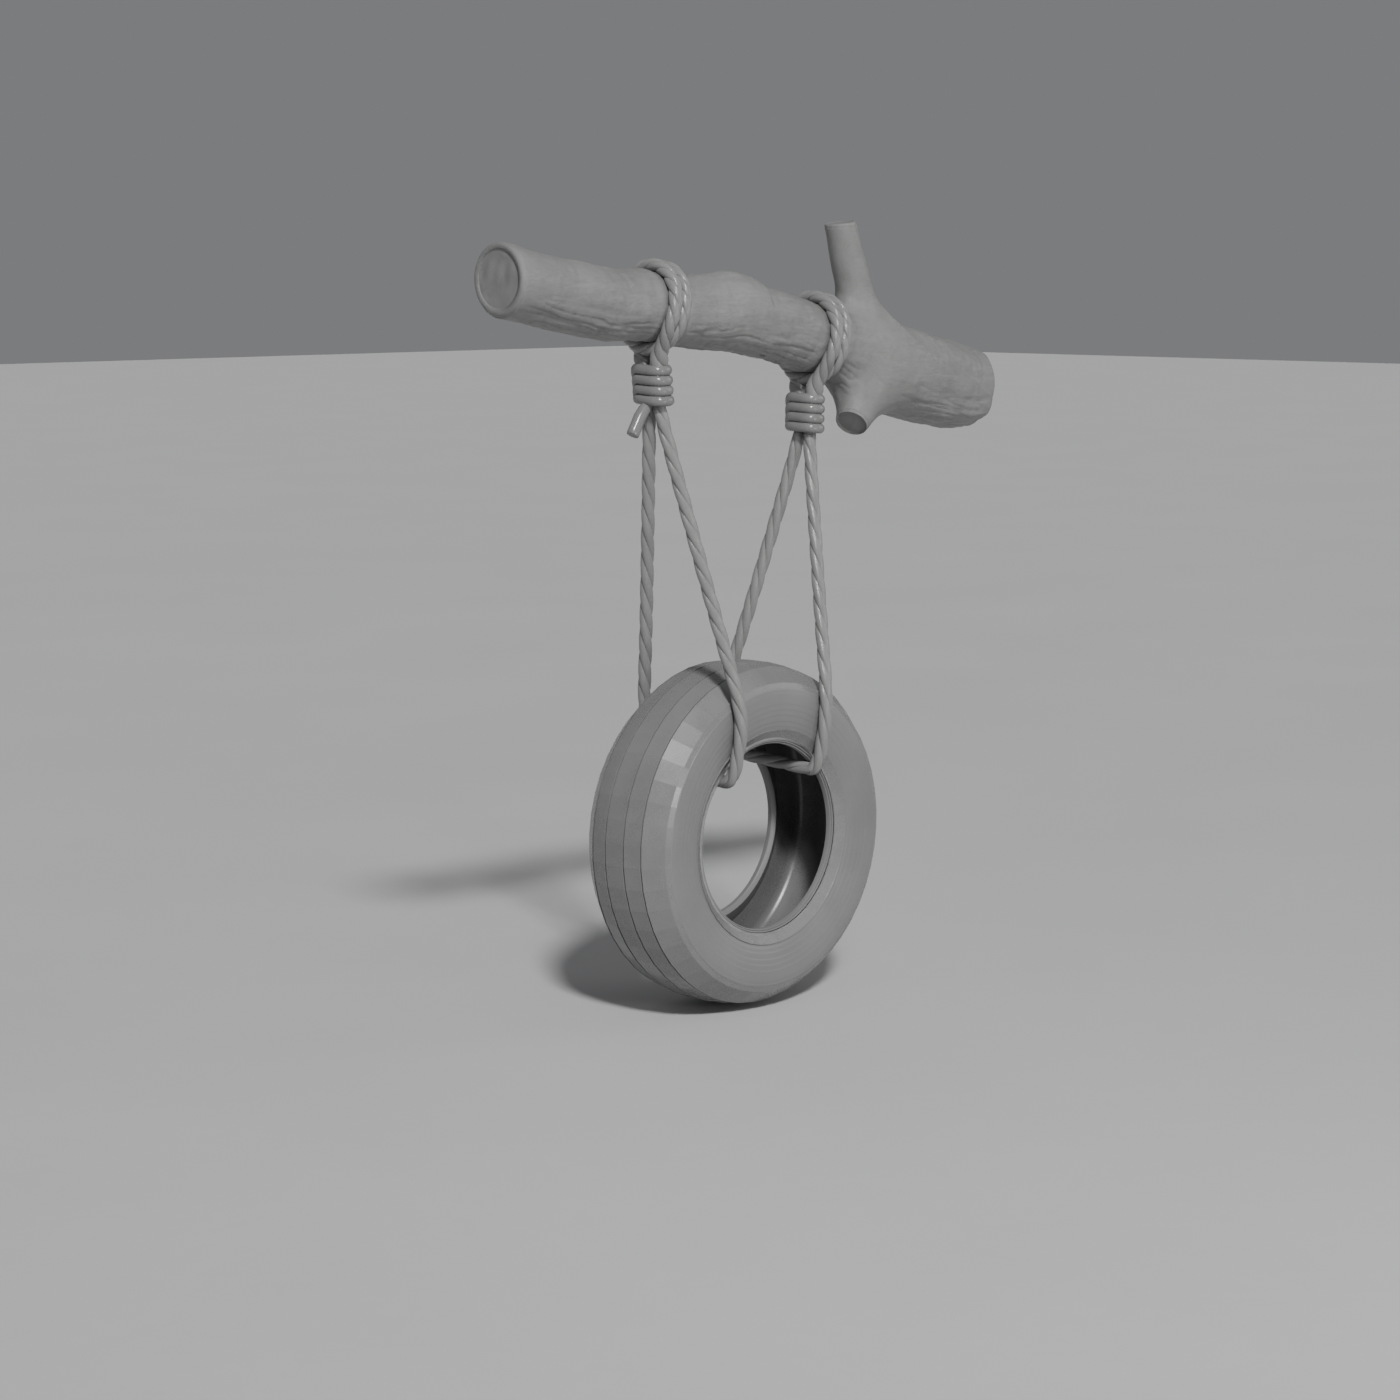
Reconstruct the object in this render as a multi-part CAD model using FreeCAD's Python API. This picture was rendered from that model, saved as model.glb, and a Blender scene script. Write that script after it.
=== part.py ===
import FreeCAD, Part
import math
import os

# Tyre swing: a passenger tyre slung on two three-strand ropes under a sawn tree limb.
# Millimetres, +Z up.  The origin is the centre of the limb's sawn butt face, where the limb is held.
# +X points out of the butt, so the limb runs along -X.  The side that faces -Y is the front.

# ---- limb -------------------------------------------------------------------------------------
LIMB_LENGTH = 1255.0        # butt face to tip face, along X
BARK_THICKNESS = 7.0
BARK_RIM = 4.0              # bark stands this proud of the wood at the tip and at the two stubs
SEAT_HALF_LENGTH = 36.0     # straight round stretch of limb under each rope tie, to each side
# stations of the limb's centre line between the seats: distance from the butt, height, radius
BUTT_STATIONS = [(16.0, 0.0, 76.0), (62.0, 4.0, 81.0), (130.0, 17.0, 84.0),
                 (202.0, 32.0, 86.0), (330.0, 67.0, 79.0)]
MIDDLE_STATIONS = [(572.0, 132.0, 67.0), (705.0, 156.0, 67.5)]
TIP_STATIONS = [(1006.0, 174.0, 64.5), (1120.0, 191.0, 65.0), (1224.0, 211.0, 65.0)]
BUTT_RADIUS = 68.0
TIP_RADIUS = 68.0
TIP_HEIGHT = 218.0
TIP_STRAIGHT = 6.0          # the last stretch of the tip runs level, and its rim opens by TIP_FLARE
TIP_FLARE = 0.3

# each stub: root and end points of its centre line, root and end radii
UPPER_STUB = ((-312.0, 0.0, 90.0), (-390.0, 0.0, 320.0), 47.0, 28.5)
LOWER_STUB = ((-280.0, 0.0, 52.0), (-396.0, -39.0, -57.0), 54.0, 31.0)

# ---- rope -------------------------------------------------------------------------------------
ROPE_DIAMETER = 24.0
WHIPPING_DIAMETER = 17.7    # smooth cord of the lashings
FIT = 0.3                   # clearance between rope, cord, limb and tyre
LEFT_TIE = (-887.0, 166.0, 61.0)     # centre x, centre z and limb radius under the turns
RIGHT_TIE = (-465.0, 104.0, 63.5)
LEFT_KNOT_X = (-891.0, -884.0)       # x of the lashing's top and bottom
RIGHT_KNOT_X = (-484.0, -486.0)
VERTICES_PER_TURN = 16
WRAPS = 4
KNOT_GAP = 1.0              # between a tie's lowest pass and the top of its lashing
THROAT_RADIUS = 24.0        # bend of the rope where it leaves the top of a lashing
LEG_LEAD = 14.0             # straight stretch of a leg below its lashing
TAIL_LENGTH = 58.0
TAIL_LEAN = 31.0            # degrees from straight down, towards the tip
LEG_SPLIT = 45.0            # a leg gives way to its sling this far above the sidewall

# ---- tyre -------------------------------------------------------------------------------------
TYRE_RADIUS = 321.0
TYRE_WIDTH = 207.0
TYRE_DROP = 801.0           # tyre centre below the origin
TYRE_X = -670.0
SHOULDER_DEPTH = 59.0       # crown to the widest line of the sidewall
SHOULDER_ARC = 45.343       # the shoulder runs smoothly into the crown's arc
WIDEST_RADIUS = TYRE_RADIUS - SHOULDER_DEPTH
SHOULDER_Y = TYRE_WIDTH / 2.0 - SHOULDER_ARC
CROWN_ARC = ((SHOULDER_Y ** 2 + SHOULDER_DEPTH ** 2 - SHOULDER_ARC ** 2)
             / (2.0 * (SHOULDER_DEPTH - SHOULDER_ARC)))
RIM_EDGE_RADIUS = 193.7     # lower end of the sidewall's outer face
RIM_EDGE_SET = 9.6          # it lies this far inside the widest line
RIM_EDGE_Y = TYRE_WIDTH / 2.0 - RIM_EDGE_SET
BEAD_RADIUS = 172.4         # bore of the bead lip
LIP_SET = 14.9              # from rim edge to lip, towards the middle plane
LIP_WIDTH = 10.0
BEAD_LIP_Y = RIM_EDGE_Y - LIP_SET
BEAD_TOE_Y = BEAD_LIP_Y - LIP_WIDTH
BEAD_TOE_RISE = 9.0
LIP_HEIGHT = 4.0
LIP_GROOVE = 3.0
LIP_BEVEL = 1.0
BAND_SLOPE = 6.0            # the band between rim edge and lip slopes in by this much
BAND_FOOT = 12.0            # and ends this far outside the bore
TOE_SET = 3.0               # the toe's inner face leans in by this much
TREAD_THICKNESS = 11.0
BELT_THICKNESS = 1.6
PLY_THICKNESS = 1.6
LINER_THICKNESS = 1.8
SIDEWALL_THICKNESS = 6.0
TREAD_HALF_WIDTH = 67.0
BELT_HALF_WIDTH = 62.0
BELT_STEP = 6.0             # the upper belt is this much narrower on each side
GROOVE_OFFSETS = (-45.0, -15.0, 15.0, 45.0)
GROOVE_WIDTH = 3.4
GROOVE_DEPTH = 6.5
BEAD_CORE_SIZE = 9.0
BEAD_CORE_RISE = 11.6
BEAD_CORE_RADIUS = BEAD_RADIUS + BEAD_CORE_RISE
FILLER_HEIGHT = 20.0
FILLER_LEAN = 6.0           # the filler's tip leans this far out past its core
BEAD_TOP_RADIUS = 214.0     # the ply and the liner end here, in the root of the sidewall
LEFT_SLING = (-44.0, -48.0)         # front and back: where a sling passes under the bead, from the top
RIGHT_SLING = (46.0, 38.0)
LIP_TURN = 15.0             # the sling's turn under the bead starts and ends this far from its corner
BULGE_EASE = 3.5            # the bend over the sidewall's widest point passes this far inside its corner

ROPE_RADIUS = ROPE_DIAMETER / 2.0
STRAND_Y = ROPE_RADIUS + FIT / 2.0
Vec = FreeCAD.Vector


def export(shape, node):
    if not shape.isValid():
        raise ValueError(node + " is not a valid shape")
    shape.exportStep("parts/" + node + ".step")


# ---- routes -----------------------------------------------------------------------------------
def bend(before, corner, after, radius=None):
    """Ends, middle and radius of the arc that rounds one corner of a route."""
    to_before = before - corner
    to_after = after - corner
    shorter = min(to_before.Length, to_after.Length)
    to_before.normalize()
    to_after.normalize()
    half_turn = (math.pi - to_before.getAngle(to_after)) / 2.0
    largest = 0.45 * shorter / math.tan(half_turn)
    radius = largest if radius is None else radius
    reach = radius * math.tan(half_turn)
    bisector = (to_before + to_after).normalize()
    middle = corner + bisector * (radius / math.cos(half_turn) - radius)
    return corner + to_before * reach, middle, corner + to_after * reach, radius


def route_edges(points, radii=None):
    """Straight runs joined by tangent arcs; radii holds the corners whose size is fixed."""
    edges = []
    found = []
    start = points[0]
    for i in range(1, len(points) - 1):
        a, middle, b, radius = bend(points[i - 1], points[i], points[i + 1], (radii or {}).get(i))
        if (a - start).Length > 1e-4:
            edges.append(Part.LineSegment(start, a).toShape())
        edges.append(Part.Arc(a, middle, b).toShape())
        found.append(radius)
        start = b
    edges.append(Part.LineSegment(start, points[-1]).toShape())
    return edges, found


def rope(name, points, radii=None, diameter=ROPE_DIAMETER):
    """A round rope along a route; prints its length and tightest bend."""
    edges, found = route_edges(points, radii)
    wire = Part.Wire(edges)
    circle = Part.Circle(points[0], points[1] - points[0], diameter / 2.0).toShape()
    solid = wire.makePipe(Part.Face(Part.Wire(circle)))
    if solid.Volume < 0:
        solid = solid.reversed()
    expected = math.pi * diameter ** 2 / 4.0 * wire.Length
    print("%s: length %.0f, bend radii %s, volume ratio %.4f" % (
        name, wire.Length, [round(r) for r in found] or "none", solid.Volume / expected))
    return solid


# ---- limb -------------------------------------------------------------------------------------
def swing_axis():
    """Unit vector from the left tie to the right tie, along the middle of the limb."""
    return Vec(RIGHT_TIE[0] - LEFT_TIE[0], 0, RIGHT_TIE[1] - LEFT_TIE[1]).normalize()


def seat_stations(tie):
    """The two ends of the round seat under a tie, nearer the butt first."""
    centre = Vec(tie[0], 0, tie[1])
    axis = swing_axis()
    ends = [centre + axis * SEAT_HALF_LENGTH, centre - axis * SEAT_HALF_LENGTH]
    return [(end, tie[2], axis) for end in ends]


def limb_stations():
    """Centre, radius and direction of every cross-section, butt to tip."""
    def free(rows):
        return [(Vec(-x, 0, z), r, None) for x, z, r in rows]
    rows = [(Vec(0, 0, 0), BUTT_RADIUS, Vec(1, 0, 0))]
    rows += free(BUTT_STATIONS) + seat_stations(RIGHT_TIE)
    rows += free(MIDDLE_STATIONS) + seat_stations(LEFT_TIE)
    rows += free(TIP_STATIONS)
    rows.append((Vec(TIP_STRAIGHT - LIMB_LENGTH, 0, TIP_HEIGHT), TIP_RADIUS - TIP_FLARE, Vec(1, 0, 0)))
    rows.append((Vec(-LIMB_LENGTH, 0, TIP_HEIGHT), TIP_RADIUS, Vec(1, 0, 0)))
    return rows


def section(centre, radius, direction):
    return Part.Wire(Part.Circle(centre, direction, radius).toShape())


def limb_body(depth):
    """The limb's main stem with its surface set in by depth."""
    rows = limb_stations()
    wires = []
    for i, (centre, radius, direction) in enumerate(rows):
        if direction is None:
            direction = rows[i - 1][0] - rows[i + 1][0]
        wires.append(section(centre, radius - depth, direction))
    return Part.makeLoft(wires, True, True)


def stub_body(stub, depth):
    """A sawn side branch: a cone from inside the limb to its cut face, set in by depth."""
    root = Vec(*stub[0])
    run = Vec(*stub[1]) - root
    return Part.makeCone(stub[2] - depth, stub[3] - depth, run.Length, root, run)


def limb_shape(depth):
    """The stem and its two stubs out to their sawn faces, set in by depth."""
    return limb_body(depth).fuse([stub_body(stub, depth) for stub in (UPPER_STUB, LOWER_STUB)])


def rim_slices():
    """The slices by which the bark's rim stands proud of the wood, at the tip and at the two stubs."""
    faces = [(Vec(-LIMB_LENGTH, 0, TIP_HEIGHT), Vec(-1, 0, 0), TIP_RADIUS)]
    for root, end, _, end_radius in (UPPER_STUB, LOWER_STUB):
        faces.append((Vec(*end), (Vec(*end) - Vec(*root)).normalize(), end_radius))
    return [Part.makeCylinder(radius, BARK_RIM + FIT, centre - outward * BARK_RIM, outward)
            for centre, outward, radius in faces]


def make_limb():
    under_bark = limb_shape(BARK_THICKNESS)
    export(under_bark.cut(rim_slices()), "limb_wood")
    export(limb_shape(0).cut(under_bark), "limb_bark")


# ---- ropes ------------------------------------------------------------------------------------
def lashing_height():
    return WRAPS * (WHIPPING_DIAMETER + FIT) - FIT


def knot_ends(tie, knot_x):
    """Top and bottom centres of a lashing, hung under the lowest pass of its tie."""
    under_pass = tie[2] + FIT + ROPE_RADIUS + ROPE_DIAMETER + FIT
    top = Vec(knot_x[0], 0, tie[1] - under_pass - KNOT_GAP)
    lean = knot_x[1] - knot_x[0]
    drop = math.sqrt(lashing_height() ** 2 - lean ** 2)
    return top, Vec(knot_x[1], 0, top.z - drop)


def tie_route(tie, knot_x):
    """Up through the lashing, one and three quarter turns round the limb and down again."""
    centre = Vec(tie[0], 0, tie[1])
    axis = swing_axis()
    across = Vec(0, 1, 0)
    up = axis.cross(across)
    top, bottom = knot_ends(tie, knot_x)
    throat = top + (top - bottom).normalize() * KNOT_GAP
    winding = tie[2] + FIT + ROPE_RADIUS
    drop = tie[1] - throat.z
    reach = math.hypot(STRAND_Y, drop)
    leaves = math.degrees(math.atan2(STRAND_Y, drop) + math.acos(winding / reach))
    step = 360.0 / VERTICES_PER_TURN
    first = leaves + step / 2.0
    last = 720.0 - first
    count = round((last - first) / step)
    corner_radius = winding / math.cos(math.radians(step / 2.0))
    points = [bottom - across * STRAND_Y, throat - across * STRAND_Y]
    for i in range(count + 1):
        angle = first + (last - first) * i / count
        a = math.radians(angle)
        along = (ROPE_DIAMETER + FIT) * (angle - 360.0) / 360.0
        points.append(centre + axis * along - across * corner_radius * math.sin(a)
                      - up * corner_radius * math.cos(a))
    points += [throat + across * STRAND_Y, bottom + across * STRAND_Y]
    return points


def stadium_wrap(centre, direction):
    """One closed wrap of whipping cord round the two strands of a lashing."""
    radius = ROPE_RADIUS + FIT + WHIPPING_DIAMETER / 2.0
    across = Vec(0, 1, 0)
    side = across.cross(direction).normalize()
    front = centre - across * STRAND_Y
    back = centre + across * STRAND_Y
    edges = [
        Part.LineSegment(back - side * radius, front - side * radius).toShape(),
        Part.Arc(front - side * radius, front - across * radius, front + side * radius).toShape(),
        Part.LineSegment(front + side * radius, back + side * radius).toShape(),
        Part.Arc(back + side * radius, back + across * radius, back - side * radius).toShape(),
    ]
    profile = Part.Circle(back - side * radius, across, WHIPPING_DIAMETER / 2.0).toShape()
    solid = Part.Wire(edges).makePipe(Part.Face(Part.Wire(profile)))
    return solid if solid.Volume > 0 else solid.reversed()


def lashing(top, bottom):
    direction = (bottom - top).normalize()
    first = WHIPPING_DIAMETER / 2.0
    pitch = WHIPPING_DIAMETER + FIT
    return Part.makeCompound([stadium_wrap(top + direction * (first + i * pitch), direction)
                              for i in range(WRAPS)])


def tail(top, bottom, lean):
    """The cut end of the rope below a lashing, beside the legs; its top rests against the last wrap."""
    a = math.radians(lean)
    run = Vec(-math.sin(a), 0, -math.cos(a))
    down = (bottom - top).normalize()
    side = Vec(0, 1, 0).cross(down).normalize()
    wrap_radius = WHIPPING_DIAMETER / 2.0
    wrap = bottom - down * wrap_radius + side * (ROPE_RADIUS + FIT + wrap_radius)
    start_x = bottom.x - ROPE_DIAMETER - FIT
    drop = (wrap_radius + FIT + run.x * (wrap.x - start_x)) / -run.z
    return Part.makeCylinder(ROPE_RADIUS, TAIL_LENGTH, Vec(start_x, 0, wrap.z - drop), run)


def sling_corners(angle, side):
    """Points of one half of a sling: over the sidewall, beside the lip and under it; side is -1 in front."""
    clear = ROPE_RADIUS + FIT
    a = math.radians(angle)
    x = TYRE_X + (BEAD_RADIUS - clear) * math.sin(a)
    under = -TYRE_DROP + (BEAD_RADIUS - clear) * math.cos(a)
    widest = -TYRE_DROP + math.sqrt(WIDEST_RADIUS ** 2 - (x - TYRE_X) ** 2)
    beside = RIM_EDGE_Y + clear + FIT
    return [Vec(x, side * (TYRE_WIDTH / 2.0 + clear + BULGE_EASE), widest + BULGE_EASE),
            Vec(x, side * beside, under + LIP_TURN),
            Vec(x, side * (beside - LIP_TURN), under)]


def leg_route(tie, knot_x, angle, side):
    """A leg, from the foot of its lashing to just above the sidewall."""
    top, bottom = knot_ends(tie, knot_x)
    down = (bottom - top).normalize()
    start = bottom + Vec(0, side * STRAND_Y, 0)
    lead = start + down * LEG_LEAD
    over_bulge = sling_corners(angle, side)[0]
    split = over_bulge + (lead - over_bulge).normalize() * LEG_SPLIT
    return [start, lead, split]


def make_ropes():
    sides = (("left", LEFT_TIE, LEFT_KNOT_X, LEFT_SLING), ("right", RIGHT_TIE, RIGHT_KNOT_X, RIGHT_SLING))
    for name, tie, knot_x, sling in sides:
        top, bottom = knot_ends(tie, knot_x)
        winding = tie_route(tie, knot_x)
        throats = {1: THROAT_RADIUS, len(winding) - 2: THROAT_RADIUS}
        export(rope(name + "_limb_tie", winding, throats), name + "_limb_tie")
        export(lashing(top, bottom), name + "_lashing")
        front = leg_route(tie, knot_x, sling[0], -1)
        back = leg_route(tie, knot_x, sling[1], 1)
        export(rope(name + "_front_leg", front), name + "_front_leg")
        export(rope(name + "_back_leg", back), name + "_back_leg")
        under = sling_corners(sling[0], -1) + sling_corners(sling[1], 1)[::-1]
        export(rope(name + "_sling", [front[-1]] + under + [back[-1]]), name + "_sling")
    export(tail(*knot_ends(LEFT_TIE, LEFT_KNOT_X), TAIL_LEAN), "left_tail")


# ---- tyre -------------------------------------------------------------------------------------
def casing_arcs(crown, half_width, depth_at_edge):
    """Crown, shoulder and lower sidewall arcs of one layer, as centre (y, r) and radius."""
    crown_arc = CROWN_ARC - (TYRE_RADIUS - crown)
    crown_centre = crown - crown_arc
    rise = WIDEST_RADIUS - crown_centre
    spare = crown_arc - half_width
    shoulder_y = (rise ** 2 - spare ** 2) / (2.0 * spare)
    shoulder_arc = half_width - shoulder_y
    inward = half_width - (RIM_EDGE_Y - depth_at_edge)
    down = WIDEST_RADIUS - RIM_EDGE_RADIUS
    lower_arc = (inward ** 2 + down ** 2) / (2.0 * inward)
    return crown_centre, crown_arc, shoulder_y, shoulder_arc, lower_arc


def ring_point(y, r):
    """A point of the tyre's section, at its top."""
    return Vec(TYRE_X, y, -TYRE_DROP + r)


def half_outline(crown_depth, wall_depth, end_radius, side):
    """Edges of one layer from the middle of the crown down one sidewall to end_radius."""
    half_width = TYRE_WIDTH / 2.0 - wall_depth
    crown_centre, crown_arc, sy, s_arc, l_arc = casing_arcs(TYRE_RADIUS - crown_depth, half_width, wall_depth)
    to_shoulder = math.atan2(sy, WIDEST_RADIUS - crown_centre)

    def on_crown(angle):
        return ring_point(side * crown_arc * math.sin(angle), crown_centre + crown_arc * math.cos(angle))

    def on_shoulder(angle):
        return ring_point(side * (sy + s_arc * math.sin(angle)), WIDEST_RADIUS + s_arc * math.cos(angle))

    lower_y = half_width - l_arc
    sweep = math.asin((WIDEST_RADIUS - end_radius) / l_arc)

    def on_lower(angle):
        return ring_point(side * (lower_y + l_arc * math.cos(angle)), WIDEST_RADIUS - l_arc * math.sin(angle))

    middle = (to_shoulder + math.pi / 2.0) / 2.0
    return [
        Part.Arc(on_crown(0), on_crown(to_shoulder / 2.0), on_crown(to_shoulder)).toShape(),
        Part.Arc(on_shoulder(to_shoulder), on_shoulder(middle), on_shoulder(math.pi / 2.0)).toShape(),
        Part.Arc(on_lower(0), on_lower(sweep / 2.0), on_lower(sweep)).toShape(),
    ]


def bead_points(side):
    """The bead from the rim edge in, round the lip and the toe, to the inner face."""
    rows = [
        (RIM_EDGE_Y, RIM_EDGE_RADIUS),
        (RIM_EDGE_Y - BAND_SLOPE, BEAD_RADIUS + BAND_FOOT),
        (BEAD_LIP_Y + LIP_HEIGHT, BEAD_RADIUS + LIP_HEIGHT + LIP_GROOVE),
        (BEAD_LIP_Y + LIP_BEVEL, BEAD_RADIUS + LIP_HEIGHT),
        (BEAD_LIP_Y, BEAD_RADIUS),
        (BEAD_TOE_Y, BEAD_RADIUS),
        (BEAD_TOE_Y - TOE_SET, BEAD_RADIUS + BEAD_TOE_RISE),
    ]
    return [ring_point(side * y, r) for y, r in rows]


def cavity_depths():
    crown = TREAD_THICKNESS + 2 * BELT_THICKNESS + PLY_THICKNESS + LINER_THICKNESS
    wall = SIDEWALL_THICKNESS + PLY_THICKNESS + LINER_THICKNESS
    return crown, wall


def wall_foot(wall_depth):
    """How far from the middle plane a layer's sidewall ends, at the top of the bead."""
    half_width = TYRE_WIDTH / 2.0 - wall_depth
    lower_arc = casing_arcs(TYRE_RADIUS, half_width, wall_depth)[4]
    return half_width - lower_arc + math.sqrt(lower_arc ** 2 - (WIDEST_RADIUS - BEAD_TOP_RADIUS) ** 2)


def closed_layer(crown_depth, wall_depth):
    """The region inside one layer's outline, down past the bore, both sides."""
    foot = wall_foot(wall_depth)
    low = BEAD_RADIUS / 2.0
    edges = [Part.LineSegment(ring_point(-foot, low), ring_point(foot, low)).toShape()]
    for side in (-1, 1):
        edges += half_outline(crown_depth, wall_depth, BEAD_TOP_RADIUS, side)
        top = ring_point(side * foot, BEAD_TOP_RADIUS)
        edges.append(Part.LineSegment(top, ring_point(side * foot, low)).toShape())
    return Part.Face(Part.Wire(Part.__sortEdges__(edges)))


def tyre_section():
    """The whole rubber section of the tyre, bead to bead, before it is divided."""
    crown_depth, wall_depth = cavity_depths()
    foot = wall_foot(wall_depth)
    edges = []
    for side in (-1, 1):
        edges += half_outline(0, 0, RIM_EDGE_RADIUS, side)
        edges += half_outline(crown_depth, wall_depth, BEAD_TOP_RADIUS, side)
        points = bead_points(side) + [ring_point(side * foot, BEAD_TOP_RADIUS)]
        for a, b in zip(points, points[1:]):
            edges.append(Part.LineSegment(a, b).toShape())
    return Part.Face(Part.Wire(Part.__sortEdges__(edges)))


def box_face(y0, y1, r0, r1):
    corners = [ring_point(y0, r0), ring_point(y1, r0), ring_point(y1, r1), ring_point(y0, r1)]
    return Part.Face(Part.makePolygon(corners + [corners[0]]))


def turned(face):
    """A ring of the tyre, turned from its section about the tyre's axle line."""
    solid = face.revolve(Vec(TYRE_X, 0, -TYRE_DROP), Vec(0, 1, 0), 360)
    if solid.Volume < 0:
        solid = solid.reversed()
    return solid


def bead_filler(side):
    """The wedge of hard rubber that stands on a bead core."""
    half = BEAD_CORE_SIZE / 2.0
    base = BEAD_CORE_RADIUS + half
    corners = [ring_point(side * (BEAD_LIP_Y - half), base), ring_point(side * (BEAD_LIP_Y + half), base),
               ring_point(side * (BEAD_LIP_Y + half + FILLER_LEAN), base + FILLER_HEIGHT)]
    return Part.Face(Part.makePolygon(corners + [corners[0]]))


def bead_core(side):
    half = BEAD_CORE_SIZE / 2.0
    ys = sorted((side * (BEAD_LIP_Y - half), side * (BEAD_LIP_Y + half)))
    return box_face(ys[0], ys[1], BEAD_CORE_RADIUS - half, BEAD_CORE_RADIUS + half)


def tyre_faces():
    """Every ring of the tyre as a section face, outer layers first."""
    whole = tyre_section()
    crown_depth, wall_depth = cavity_depths()
    ply_crown = crown_depth - LINER_THICKNESS
    ply_wall = wall_depth - LINER_THICKNESS
    inside_liner = closed_layer(crown_depth, wall_depth)
    inside_ply = closed_layer(ply_crown, ply_wall)
    inside_belts = closed_layer(ply_crown - PLY_THICKNESS, ply_wall - PLY_THICKNESS)
    above_bead = box_face(-TYRE_WIDTH, TYRE_WIDTH, BEAD_TOP_RADIUS, TYRE_RADIUS + TREAD_THICKNESS)
    cores = {side: bead_core(side) for side in (-1, 1)}
    fillers = {side: bead_filler(side) for side in (-1, 1)}
    hoops = list(cores.values()) + list(fillers.values())
    band = whole.common(above_bead)
    liner = band.common(inside_ply).cut(inside_liner)
    ply = band.common(inside_belts).cut(inside_ply)
    lower_belt = belt(TREAD_THICKNESS + BELT_THICKNESS, BELT_HALF_WIDTH)
    upper_belt = belt(TREAD_THICKNESS, BELT_HALF_WIDTH - BELT_STEP)
    rubber = whole.cut([liner, ply, lower_belt, upper_belt] + hoops)
    middle = box_face(-TREAD_HALF_WIDTH, TREAD_HALF_WIDTH, WIDEST_RADIUS, TYRE_RADIUS + TREAD_THICKNESS)
    tread = rubber.common(middle).cut([groove(y) for y in GROOVE_OFFSETS])
    walls = rubber.cut(middle)
    front_half = box_face(-TYRE_WIDTH, 0, BEAD_RADIUS / 2.0, TYRE_RADIUS + TREAD_THICKNESS)
    return {
        "tread": tread,
        "front_sidewall": walls.common(front_half),
        "back_sidewall": walls.cut(front_half),
        "upper_steel_belt": upper_belt,
        "lower_steel_belt": lower_belt,
        "carcass_ply": ply,
        "inner_liner": liner,
        "front_bead_core": cores[-1],
        "back_bead_core": cores[1],
        "front_bead_filler": fillers[-1],
        "back_bead_filler": fillers[1],
    }


def belt(depth, half_width):
    """A steel belt that follows the crown at a depth below the tread's face."""
    outer = closed_layer(depth, depth / 2.0)
    inner = closed_layer(depth + BELT_THICKNESS, depth / 2.0 + BELT_THICKNESS)
    strip = box_face(-half_width, half_width, WIDEST_RADIUS, TYRE_RADIUS)
    return outer.cut(inner).common(strip)


def groove(y):
    """The slot of one tread groove, square to the crown."""
    crown_centre = TYRE_RADIUS - CROWN_ARC
    angle = math.asin(y / CROWN_ARC)
    half = GROOVE_WIDTH / 2.0
    across = (math.cos(angle), -math.sin(angle))
    out = (math.sin(angle), math.cos(angle))

    def at(side, radius):
        return ring_point(out[0] * radius + side * half * across[0],
                          crown_centre + out[1] * radius + side * half * across[1])
    floor = CROWN_ARC - GROOVE_DEPTH
    above = CROWN_ARC + GROOVE_DEPTH
    corners = [at(-1, floor), at(1, floor), at(1, above), at(-1, above)]
    return Part.Face(Part.makePolygon(corners + [corners[0]]))


def make_tyre():
    for node, face in tyre_faces().items():
        export(Part.makeCompound([turned(f) for f in face.Faces]), node)


def main():
    os.makedirs("parts", exist_ok=True)
    make_limb()
    make_ropes()
    make_tyre()


main()
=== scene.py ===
import math

import bpy
import numpy as np
from bpy.props import FloatProperty, IntProperty, PointerProperty
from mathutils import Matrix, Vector


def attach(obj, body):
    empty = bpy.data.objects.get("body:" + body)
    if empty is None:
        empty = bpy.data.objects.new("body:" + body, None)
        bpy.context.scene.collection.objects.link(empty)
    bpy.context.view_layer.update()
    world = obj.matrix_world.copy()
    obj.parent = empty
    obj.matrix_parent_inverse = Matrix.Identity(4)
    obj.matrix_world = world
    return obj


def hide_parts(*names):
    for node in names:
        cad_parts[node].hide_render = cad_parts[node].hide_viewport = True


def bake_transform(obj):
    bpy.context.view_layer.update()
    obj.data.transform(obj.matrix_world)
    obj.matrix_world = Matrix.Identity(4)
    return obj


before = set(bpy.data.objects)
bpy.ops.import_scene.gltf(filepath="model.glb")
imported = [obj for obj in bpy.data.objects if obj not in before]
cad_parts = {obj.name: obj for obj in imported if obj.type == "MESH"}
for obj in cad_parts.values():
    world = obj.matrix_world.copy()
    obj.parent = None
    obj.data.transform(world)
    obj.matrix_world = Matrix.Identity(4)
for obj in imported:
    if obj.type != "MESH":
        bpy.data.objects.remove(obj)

bl_info = {
    "name": "Tyre swing looks",
    "version": (1, 0, 0),
    "blender": (4, 5, 0),
    "location": "View3D > Sidebar > Tyre swing",
    "description": "Builds the visible surfaces of the tyre swing round its packed CAD frame",
    "category": "Object",
}

# Metres, in the row frame: +Z up, the limb runs along -X from its butt face, the front faces -Y.

# ---- design values that the CAD source shares --------------------------------------------------
LIMB_LENGTH = 1.255
# the limb's centre line: distance from the butt, height, radius
LIMB_STATIONS = [
    (0.0, 0.0, 0.068), (0.016, 0.0, 0.076), (0.062, 0.004, 0.081), (0.130, 0.017, 0.084),
    (0.202, 0.032, 0.086), (0.330, 0.067, 0.079), (0.4294, 0.0988, 0.0635),
    (0.5006, 0.1092, 0.0635), (0.572, 0.132, 0.066), (0.705, 0.156, 0.0675),
    (0.8514, 0.1608, 0.061), (0.9226, 0.1712, 0.061), (1.006, 0.174, 0.0625),
    (1.120, 0.191, 0.0615), (1.224, 0.211, 0.0622), (1.255, 0.218, 0.0634),
]
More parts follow.
